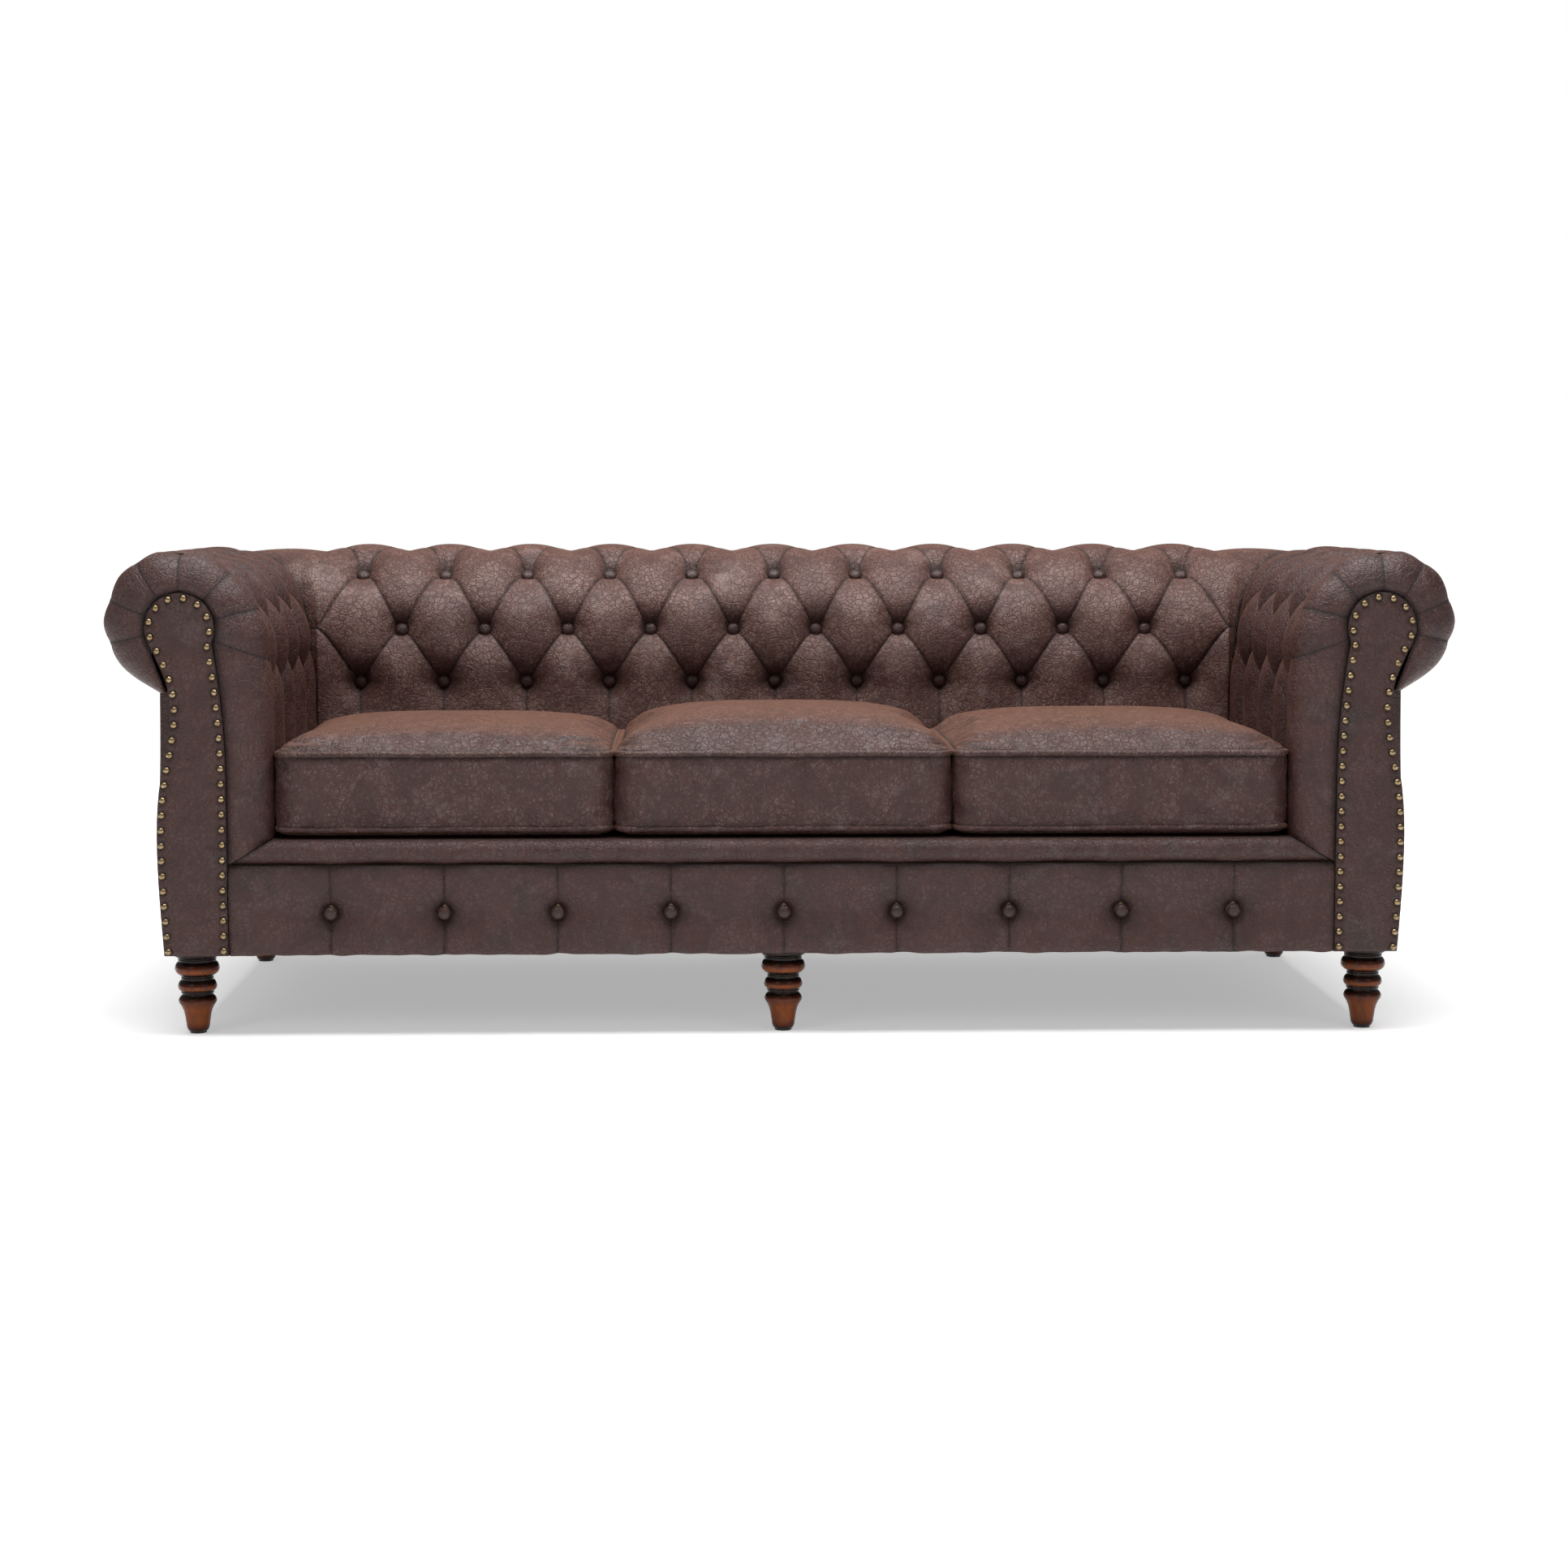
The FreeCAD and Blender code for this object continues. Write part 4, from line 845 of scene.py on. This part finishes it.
buttons = scattered(covered_button(), button_places(range(-10, 11), BACK_WIDTH, on_back))
piece(buttons, "back_covered_buttons", darker_button_hide, ["back_buttons"])
buttons = scattered(covered_button(), button_places(range(0, 7), ARM_WIDTH, on_arm))
for side, shape in both_arms(buttons):
    piece(shape, side + "_covered_buttons", darker_button_hide, [side + "_arm_buttons"])


# Facings with their nails

outer_edge = spline((126.0, 269.0, 394.0, 532.0, 599.1), (941.0, 949.0, 942.0, 929.0, 955.8))


def facing_sides(z):
    """Inner and outer edge of the keyhole at a height."""
    z = np.asarray(z, float)
    chord = np.sqrt(np.maximum(0, HEAD_R ** 2 - (z - HEAD_Z) ** 2))
    inner = np.where(z < 601.6, FACING_IN + 4.16e-4 * np.maximum(0, z - 394) ** 2, HEAD_X - chord)
    outer = np.where(z < 599.1, outer_edge(np.minimum(z, 599.1)), HEAD_X + chord)
    return inner, outer


def nail_places(inset=7.5, pitch=23.0):
    """Places of the nails, evenly along a line inside the facing's edge."""
    head = HEAD_Z + HEAD_R * np.sin(np.linspace(-0.7, math.pi / 2, 200))
    z = np.sort(np.concatenate((np.linspace(FACING_LOW, 590, 300), head)))
    inner, outer = facing_sides(z)
    x, z = np.concatenate((inner, outer[::-1])), np.concatenate((z, z[::-1]))
    apart = np.hypot(np.diff(x), np.diff(z)) > 0.05
    x, z = x[:-1][apart], z[:-1][apart]
    along, up = np.diff(x), np.diff(z)
    length = np.hypot(along, up)
    x = (x[:-1] + x[1:]) / 2 + inset * up / length
    z = (z[:-1] + z[1:]) / 2 - inset * along / length
    inside = z >= FACING_LOW + inset
    x, z = x[inside], z[inside]
    run = np.concatenate(([0.0], np.cumsum(np.hypot(np.diff(x), np.diff(z)))))
    marks = np.linspace(0, run[-1], round(run[-1] / pitch) + 1)
    return [Vector(spot) for spot in zip(np.interp(marks, run, x), np.interp(marks, run, z))]


nail_spots = nail_places()


def facing():
    """The flat keyhole panel, softly padded, drawn in under each nail, its edge turned back."""
    head = [HEAD_Z + HEAD_R * math.sin(a) for a in np.linspace(-1.0, math.pi / 2, 40)]
    heights = list(np.linspace(FACING_LOW, 560, 110)) + [z for z in head if z > 562]
    bm = sheet(crowded((-1.0, 1.0), 34, 0.62), heights)
    side, z = spots(bm)
    inner, outer = facing_sides(z)
    x = (inner + outer) / 2 + side * (outer - inner) / 2
    to_edge = np.minimum(x - inner, outer - x)
    to_edge = np.minimum(to_edge, np.where(z > HEAD_Z, HEAD_R - np.hypot(x - HEAD_X, z - HEAD_Z), 99.0))
    to_edge = np.minimum(to_edge, z - FACING_LOW + 2)
    y = FACING_Y + 3.5 * fade(to_edge, 2.2) - 1.6 * ease(to_edge / 28)
    ring = np.zeros(len(x))
    for spot in nail_spots:
        aside, up = np.abs(x - spot.x), z - spot.y
        y += 1.5 * np.exp(-(aside ** 2 + up ** 2) / 60.0) + 1.0 * np.exp(-up ** 2 / 34.0 - aside / 17.0)
        # painted shade in a ring round each nail head
        ring = np.maximum(ring, 0.75 * fade(np.hypot(aside, up) - 5.6, 1.6, 2))
    y += 0.5 * np.sin(z / 13.0 + x / 30) * ease(to_edge / 20)
    move_to(bm, x, y, z)
    # painted shade along the facing's turned edge, added to the nail rings
    paint_shade(bm, np.maximum(ring, 0.75 * fade(to_edge, 1.3)))
    bmesh.ops.remove_doubles(bm, verts=bm.verts, dist=0.05)
    rim = [e for e in bm.edges if e.is_boundary]
    bmesh.ops.translate(bm, vec=(0, 9, 0), verts=extruded(bm, rim))
    flip_if(bm, (0, -1, 0))
    return bm


for side, shape in both_arms(facing()):
    panel = piece(shape, side + "_keyhole_facing", hide, [side + "_arm_facing"], finer=1)

nail = turned(((0, 3.7), (2.1, 3.3), (3.9, 2.3), (5.0, 0.9), (5.3, -0.6)), 12)
heads = scattered(nail, [Matrix.Translation((p.x, FACING_Y + 0.6, p.y)) @ Matrix.Rotation(math.pi / 2, 4, "X")
                         for p in nail_spots])
for side, shape in both_arms(heads):
    piece(shape, side + "_nail_heads", metal_brass, [side + "_facing_nails"])


# Front border, lip roll

def border():
    half = FACING_IN - 0.5
    marks = [-half] + [k * BORDER_PITCH for k in range(-4, 5)] + [half]
    rows = crowded((BORDER_Z[0], BORDER_BUTTON_Z, BORDER_Z[1]), 12, 0.6)
    bm = sheet(crowded(marks, 18, 0.8), rows)
    x, z = spots(bm)
    k = np.clip(np.round(x / BORDER_PITCH), -4, 4)
    beside = np.abs(x - k * BORDER_PITCH)
    above = np.abs(z - BORDER_BUTTON_Z)
    spread = np.clip(beside / (BORDER_PITCH / 2), 0, 1)
    groove = 2.0 * fade(beside, 2.0) + 2.0 * fade(beside, 20.0)
    hollow = BORDER_HOLLOW * fade(np.hypot(beside * 0.8, above), BORDER_HOLLOW_REACH, 1.3)
    hollow += 5.0 * fade(np.hypot(beside, above), 12.5, 4)
    roundness = 4.5 * (1 - np.sin(np.pi * np.clip(spread, 0, 1) / 2) ** 0.7)
    slack = np.sin(x / 37.0 + 2.0) * np.sin(z / 23.0 + x / 61.0)
    slack *= 1 - fade(np.hypot(beside, above), 30.0)
    roundness += 3.0 * fade(above, 16.0, 2) * (1 - 0.6 * spread) + 1.1 * slack
    low, high = z - BORDER_Z[0], BORDER_Z[1] - z
    edges = 5.0 * fade(low, 5.0) + 6.0 * fade(high, 7.0)
    ends = 5.0 * fade(half - np.abs(x), 6.0)
    ripple = 0.8 * np.sin(x / 21.0) * np.sin(x / 57.0 + 1.0) * fade(low, 30.0)
    y = FACING_Y - 2.0 + groove + hollow + roundness + edges + ends + ripple
    z = z + np.where(low < 1, 1.3 * np.sin(x / 16.0) * np.sin(x / 47.0) + 0.8 * np.sin(x / 7.0), 0)
    move_to(bm, x, y, z)
    # painted shade: thin lines in the grooves, rings and soft halos round the buttons, a painted shadow under
    # the lip roll, and dark ends
    line = fade(beside, 1.4) * 0.8
    dark = np.maximum(line, 0.6 * fade(np.hypot(beside, above), 12.0, 4))
    dark = np.maximum(dark, 0.42 * fade(np.hypot(beside * 0.8, above - 3), 23.0, 2))
    dark = np.maximum(dark, 0.9 * fade(high, 6.0))
    dark = np.maximum(dark, 0.8 * fade(half - np.abs(x), 2.0))
    paint_shade(bm, dark)
    under = [e for e in bm.edges if e.is_boundary and all(abs(v.co.z - BORDER_Z[0]) < 2 for v in e.verts)]
    bmesh.ops.translate(bm, vec=(0, 14, 0), verts=extruded(bm, under))
    flip_if(bm, (0, -1, 0))
    return bm


apron = piece(border(), "buttoned_border", hide, ["front_border_cover"], finer=1)
fronts = [facing_out((k * BORDER_PITCH, FACING_Y + 11.5, BORDER_BUTTON_Z), (0, -1, 0)) for k in range(-4, 5)]
piece(scattered(covered_button(0.87), fronts), "border_covered_buttons", darker_button_hide, ["front_border_buttons"])


def lip():
    """Half-round roll along the seat front; its ends are cut on the diagonal of the arm bands."""
    low, high = LIP_LOW, LIP_TOP - 0.5
    round_part = [math.pi * i / 20 for i in range(21)]
    marks = [-FACING_IN] + [k * BORDER_PITCH * 1.5 for k in (-2, -1, 0, 1, 2)] + [FACING_IN]
    bm = sheet(crowded(marks, 30, 0.0), [-0.5] + round_part + [math.pi + 0.5, math.pi + 1.0])
    x, angle = spots(bm)
    middle, radius = (low + high) / 2, (high - low) / 2
    turn = np.clip(angle, 0, math.pi)
    wave = 0.7 * np.sin(x / 17.0) * np.sin(x / 43.0) + 0.5 * np.sin(x / 9.0 + 2.0)
    y = FACING_Y + LIP_DEPTH - (LIP_DEPTH + wave) * np.sin(turn) + np.where(angle < 0, 12.0, 0)
    y += np.where(angle > math.pi, (angle - math.pi) * 30.0, 0)
    z = middle - radius * np.cos(turn)
    limit = SEAT_HALF - 1 + (LIP_TOP + 1 - z) / (LIP_TOP + 1 - 264.0) * (FACING_IN - SEAT_HALF)
    x = x * limit / FACING_IN
    # painted shade on the roll's top under the cushions, on its underside, and at its mitred ends
    dark = np.maximum(np.exp(-np.abs(angle) * 3.5), np.exp(-np.abs(math.pi - angle) * 4.5)) * 0.95
    dark = np.maximum(dark, 0.85 * fade(limit - np.abs(x), 2.0))
    return laid(bm, x, y, z, dark, (0, -1, 0))


roll_front = piece(lip(), "seat_lip_roll", hide, ["front_lip_roll"], finer=1)


# Outside panels

def outside_arm():
    profile = spline((126.0, 195.0, 269.0, 340.0, 410.0, 524.0), (941.0, 947.5, 949.0, 947.0, 944.0, 942.0))
    bm = sheet(crowded((-437.0, 361.0), 40, 0.7), crowded((126.0, 528.0), 24, 0.6))
    y, z = spots(bm)
    edge = np.minimum(np.minimum(y + 437, 361 - y), z - 126)
    slack = 1.2 * np.sin(y / 80.0 + 1) * np.sin(z / 60.0) * ease(edge / 50)
    x = profile(z) - 3.0 * fade(edge, 3.0) + slack
    move_to(bm, x, y, z)
    # painted shade along the rear and lower turned edges, lighter along the front return
    paint_shade(bm, 0.7 * fade(np.minimum(361 - y, z - 126), 1.5) + 0.15 * (y < -436))
    front = [e for e in bm.edges if e.is_boundary and all(abs(v.co.y + 437) < 0.01 for v in e.verts)]
    for v in extruded(bm, front):
        v.co.x, v.co.y = float(outer_edge(min(v.co.z, 532.0))) - 5.0, -439.0
    flip_if(bm, (1, 0, 0))
    return bm


for side, shape in both_arms(outside_arm()):
    piece(shape, side + "_outside_panel", hide, [side + "_outside_arm_cover"])


def outside_back():
    half = 938.0
    bm = sheet(crowded((-half, 0.0, half), 36, 0.6), crowded((126.0, 534.0), 24, 0.6))
    x, z = spots(bm)
    edge = np.minimum(half - np.abs(x), z - 126)
    y = 366.0 - 2.5 * fade(edge, 3.0) + 1.5 * np.sin(x / 190.0) * np.sin(z / 90.0) * ease(edge / 60)
    # painted shade along the turned edges
    return laid(bm, x, y, z, 0.7 * fade(edge, 1.5), (0, 1, 0))


piece(outside_back(), "outside_back_panel", hide, ["outside_back_cover"])


# Seat cushions

def cushion_plan(mark, inset, radius=24.0):
    """The cushion's outline about its middle, drawn in by so much. The mark runs from 0 to 4, a side each."""
    half_x = CUSHION_WIDTH / 2 - 1.5 - inset
    half_y = (CUSHION_BACK - CUSHION_FRONT) / 2 - 2.0 - inset
    side = np.floor(mark).astype(int) % 4
    share = mark - np.floor(mark)
    odd = side % 2 == 1
    out, along = np.where(odd, half_y, half_x), np.where(odd, half_x, half_y)
    bend = np.minimum(radius + 0.3 * inset, np.minimum(half_x, half_y))
    angle = np.maximum(0, share - 0.7) / 0.3 * math.pi / 2
    straight = share < 0.7
    p = np.where(straight, out, out - bend + bend * np.cos(angle))
    q = np.where(straight, (along - bend) * (2 * share / 0.7 - 1), along - bend + bend * np.sin(angle))
    x = np.choose(side, (p, -q, -p, q))
    y = np.choose(side, (q, p, -q, -p))
    return x, y + (CUSHION_BACK + CUSHION_FRONT) / 2


ONE_SIDE = [0.7 * i / 34 for i in range(34)] + [0.7 + 0.3 * i / 10 for i in range(10)]
MARKS = [side + share for side in range(4) for share in ONE_SIDE]


def droop(x, y):
    """How far the upper seam sinks: a little between the corners, more at the worn rear corners."""
    rear = fade(np.hypot(CUSHION_WIDTH / 2 - np.abs(x), CUSHION_BACK - y), 70.0)
    front = np.cos(np.pi * np.clip(x / CUSHION_WIDTH, -0.5, 0.5)) * (y < CUSHION_FRONT + 40)
    return 13.0 * rear + 2.0 * front


def upper_seam(across, y):
    """Height of the upper seam nearest to a point of the cushion."""
    return PIPING_HIGH - float(droop(np.array(across), np.array(y)))


def cushion_shape(middle, crown):
    """Boxed cushion: a crowned top between two seams, slightly hollow sides, a flat base."""
    rise, wall = crown - PIPING_HIGH, PIPING_HIGH - PIPING_LOW
    levels = [(150.0, 304.0), (40.0, 304.0), (12.0, 305.5), (2.0, 311.0), (0.0, PIPING_LOW)]
    for i in range(1, 8):
        share = i / 8
        levels.append((math.sin(math.pi * share) ** 0.8, PIPING_LOW + wall * share))
    levels.append((0.0, PIPING_HIGH))
    for inset in (2.0, 5.0, 10.0, 18.0, 30.0, 48.0, 72.0, 100.0, 135.0, 175.0, 215.0, 240.0):
        lift = 0.26 * (1 - math.exp(-inset / 9.0)) + 0.74 * (1 - (1 - inset / 252.0) ** 2.9)
        levels.append((inset, PIPING_HIGH + rise * lift))
    bm = sheet(MARKS + [4.0], range(len(levels)))
    mark, number = spots(bm)
    insets, heights = [np.array(column)[number.round().astype(int)] for column in zip(*levels)]
    x, y = cushion_plan(mark, insets)
    share = ease((heights - PIPING_LOW) / (PIPING_HIGH - PIPING_LOW)) * fade(insets, 90.0)
    move_to(bm, x + middle, y, heights - droop(x, y) * share)
    bmesh.ops.remove_doubles(bm, verts=bm.verts, dist=0.01)
    bmesh.ops.holes_fill(bm, edges=[e for e in bm.edges if e.is_boundary], sides=0)
    bmesh.ops.triangulate(bm, faces=[f for f in bm.faces if len(f.verts) > 4])
    bmesh.ops.recalc_face_normals(bm, faces=bm.faces)
    return bm


def seam_line(middle, z, wobble):
    """The line of a cushion's piping, slightly uneven as it is sewn."""
    mark = np.array(MARKS)
    x, y = cushion_plan(mark, 0.6)
    turn = mark * math.pi / 2
    uneven = wobble * np.sin(3 * turn + z) + 0.4 * wobble * np.sin(11 * turn + 2 * z)
    return [Vector(p) for p in zip(x + middle, y, z + uneven - droop(x, y) * (z > 400))]


def plumped(obj, held, cap, pressure):
    """Blows the cover up a little as a cloth whose seams are held, and keeps the shape."""
    fresh = bpy.data.meshes.new_from_object(obj.evaluated_get(bpy.context.evaluated_depsgraph_get()))
    obj.modifiers.clear()
    obj.data = fresh
    rest = [v.co.copy() for v in fresh.vertices]
    seams = obj.vertex_groups.new(name="seams")
    seams.add([v.index for v in fresh.vertices if held(v.co)], 1.0, "REPLACE")
    cloth = obj.modifiers.new("cloth", "CLOTH")
    cloth.settings.quality = 4
    cloth.settings.mass = 0.3
    cloth.settings.tension_stiffness = cloth.settings.compression_stiffness = 15.0
    cloth.settings.bending_stiffness = 0.6
    cloth.settings.vertex_group_mass = "seams"
    cloth.settings.use_pressure = True
    cloth.settings.uniform_pressure_force = pressure
    cloth.settings.shrink_min = -0.03
    cloth.settings.effector_weights.gravity = 0.0
    cloth.collision_settings.use_collision = False
    for number in range(1, 21):
        bpy.context.scene.frame_set(number)
    swollen = bpy.data.meshes.new_from_object(obj.evaluated_get(bpy.context.evaluated_depsgraph_get()))
    obj.modifiers.clear()
    obj.vertex_groups.clear()
    obj.data = swollen
    for v, start in zip(swollen.vertices, rest):
        move = v.co - start
        if move.length > cap:
            v.co = start + move * (cap / move.length)
    bpy.context.scene.frame_set(1)


def gather(mesh, middle):
    """Small gathers along the two seams, beside which the cover is also darkened with painted shade."""
    marks = mesh.attributes.get("painted_shade") or mesh.attributes.new("painted_shade", "FLOAT", "POINT")
    for v, mark in zip(mesh.vertices, marks.data):
        x, y, z = v.co * 1000
        away = min(abs(z - PIPING_LOW), abs(z - upper_seam(x - middle, y)))
        # painted shade beside the piping
        mark.value = 0.9 * math.exp(-max(0.0, away - 3.5) / 1.8)
        run = x + y + 14.0 * noise.noise(Vector((x, y, z)) / 60.0)
        strength = max(0.0, 0.5 + noise.noise(Vector((x, y, z)) / 90.0)) * math.exp(-away / 13.0)
        v.co += v.normal * 0.0016 * math.sin(run / 3.6) * strength
    mesh.update()


def boxed_cushion(side, middle, crown):
    """A cushion's cover, evened out, swollen between its seams and smoothed."""
    def held(p):
        z = p.z * 1000
        return z < 307 or abs(z - PIPING_LOW) < 4 or abs(z - upper_seam(p.x * 1000 - middle, p.y * 1000)) < 4

    obj = piece(cushion_shape(middle, crown - 3.0), side + "_boxed_cushion", seat_hide_painted_lighter,
                [side + "_cushion_cover"], body=side + "_seat_cushion")
    even = obj.modifiers.new("even", "REMESH")
    even.mode = "VOXEL"
    even.voxel_size = 0.008
    even.use_smooth_shade = True
    plumped(obj, held, 0.006, 4.0)
    gather(obj.data, middle)
    for p in obj.data.polygons:
        p.use_smooth = True
    if not obj.data.materials:
        obj.data.materials.append(seat_hide_painted_lighter)
    smoother = obj.modifiers.new("finer", "SUBSURF")
    smoother.levels = smoother.render_levels = 1
    return obj


for side, number in (("left", -1), ("middle", 0), ("right", 1)):
    middle = number * CUSHION_PITCH
    pad = boxed_cushion(side, middle, CROWNS[side])
    welts = join(welt(seam_line(middle, PIPING_LOW, 0.8), PIPING_RADIUS["low"]),
                 welt(seam_line(middle, PIPING_HIGH, 1.2), PIPING_RADIUS["high"]))
    piece(welts, side + "_piping", seat_hide_painted_lighter, [side + "_cushion_piping"], body=side + "_seat_cushion")


STRIP_SEAM = -290.0          # where the platform's leather strip meets its cloth


def deck_cover():
    """Top of the seat under the cushions: platform cloth with a leather strip along the front."""
    low, high = [[1000 * c for c in corner_point] for corner_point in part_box("seat_deck")]
    bm = sheet(crowded((low[0], high[0]), 30, 0.5), crowded((low[1], high[1]), 24, 0.5))
    x, y = spots(bm)
    edge = np.minimum(np.minimum(x - x.min(), x.max() - x), np.minimum(y - y.min(), y.max() - y))
    seam = np.abs(y - STRIP_SEAM)
    z = high[2] + 0.2 - 2.0 * fade(edge, 4.0) - 0.8 * fade(seam, 3.0)
    # painted shade along the seam between the leather strip and the cloth
    return laid(bm, x, y, z, 0.8 * fade(seam, 1.5), (0, 0, 1))


deck = piece(deck_cover(), "seat_platform", hide, ["seat_deck"])
deck.data.materials.append(finishes["cloth"])
for p in deck.data.polygons:
    p.material_index = int(p.center.y * 1000 > STRIP_SEAM)


# Turned feet

FOOT = (
    (0.0, 3.0), (13.5, 3.0), (14.5, 3.6), (16.2, 6.0), (17.5, 10.0), (18.2, 16.0), (19.4, 24.0),
    (20.5, 30.0), (22.2, 36.0), (25.0, 42.0), (28.2, 47.0), (29.2, 50.0), (28.8, 53.0), (27.0, 56.0),
    (24.6, 58.4), (23.4, 60.4), (23.6, 61.6), (25.0, 62.4), (25.2, 64.4), (24.4, 65.2), (26.4, 66.4),
    (28.6, 68.6), (29.8, 72.5), (29.4, 76.0), (27.8, 79.4), (25.6, 82.0), (24.0, 83.4), (24.6, 84.4),
    (24.8, 87.0), (23.8, 88.0), (25.2, 89.4), (29.0, 91.6), (32.4, 95.0), (34.0, 99.4), (34.0, 103.0),
    (32.6, 107.0), (30.0, 110.2), (28.4, 111.6), (29.0, 112.6), (29.2, 115.0), (28.2, 116.0),
    (30.0, 117.2), (33.6, 119.4), (35.8, 122.4), (36.0, 125.0), (35.8, 129.0), (0.0, 129.0))
for row, y in zip(("front", "rear"), LEG_Y):
    for side, x in (("left", -LEG_X), ("middle", 0.0), ("right", LEG_X)):
        label = row + "_" + side
        piece(turned(FOOT, 48, (x, y)), label + "_turned_foot", wood, ["leg_" + label])


# Floor, light and camera

def floor_finish():
    """Pale floor that shows white to the camera where it is lit and keeps the shadow."""
    f = Finish("pale_floor")
    tree = f.tree
    out = tree.nodes["Material Output"]
    rays = f.node("ShaderNodeLightPath")
    seen = f.sum(rays.outputs["Is Camera Ray"], rays.outputs["Is Glossy Ray"], "MAXIMUM")
    seen = f.sum(seen, rays.outputs["Is Transmission Ray"], "MAXIMUM")
    far = f.node("ShaderNodeVectorMath", {0: f.place}, operation="LENGTH").outputs["Value"]
    amount = f.span(far, 1.1, 2.6, 0.4, 0.9)
    glow = f.node("ShaderNodeEmission", {"Color": (1, 1, 1), "Strength": f.times(seen, amount)})
    f.set(Base_Color=(0.86, 0.86, 0.86), Roughness=1.0, Specular_IOR_Level=0.0)
    both = f.node("ShaderNodeAddShader", {0: f.shader.outputs[0], 1: glow.outputs[0]})
    tree.links.new(both.outputs[0], out.inputs["Surface"])
    return f.material


bm = bmesh.new()
bmesh.ops.create_grid(bm, x_segments=2, y_segments=2, size=30.0)
to_object(bm, "floor", floor_finish())

SKY = 0.22                   # strength of the light from all round; the camera sees it as white

scene = bpy.context.scene
world = bpy.data.worlds.new("studio")
scene.world = world
world.use_nodes = True
tree = world.node_tree
sky = tree.nodes["Background"]
sky.inputs["Color"].default_value = (1.0, 1.0, 1.0, 1)
rays = tree.nodes.new("ShaderNodeLightPath")
seen = tree.nodes.new("ShaderNodeMath")
seen.operation = "MULTIPLY_ADD"
tree.links.new(rays.outputs["Is Camera Ray"], seen.inputs[0])
seen.inputs[1].default_value = 1 - SKY
seen.inputs[2].default_value = SKY
tree.links.new(seen.outputs[0], sky.inputs["Strength"])


def lamp(name, place, aim, width, height, power):
    light = bpy.data.lights.new(name, "AREA")
    light.shape = "RECTANGLE"
    light.size, light.size_y = width, height
    light.energy = power
    obj = bpy.data.objects.new(name, light)
    scene.collection.objects.link(obj)
    obj.location = place
    obj.rotation_euler = (Vector(aim) - Vector(place)).to_track_quat("-Z", "Y").to_euler()


lamp("overhead", (0.0, -0.45, 3.2), (0.0, -0.15, 0.3), 3.6, 2.2, 195.0)
lamp("front_left", (-2.6, -3.4, 2.2), (0.0, 0.0, 0.4), 1.6, 1.6, 14.0)
lamp("front_right", (2.6, -3.4, 2.2), (0.0, 0.0, 0.4), 1.6, 1.6, 10.0)

camera = bpy.data.cameras.new("camera")
camera.sensor_width = 36.0
camera.lens = 68.2
eye = bpy.data.objects.new("camera", camera)
scene.collection.objects.link(eye)
eye.location = (-0.1259, -4.9273, 0.8178)
eye.rotation_euler = (math.pi / 2 - 0.0958, 0.0, -0.028)
scene.camera = eye
scene.view_settings.view_transform = "Standard"
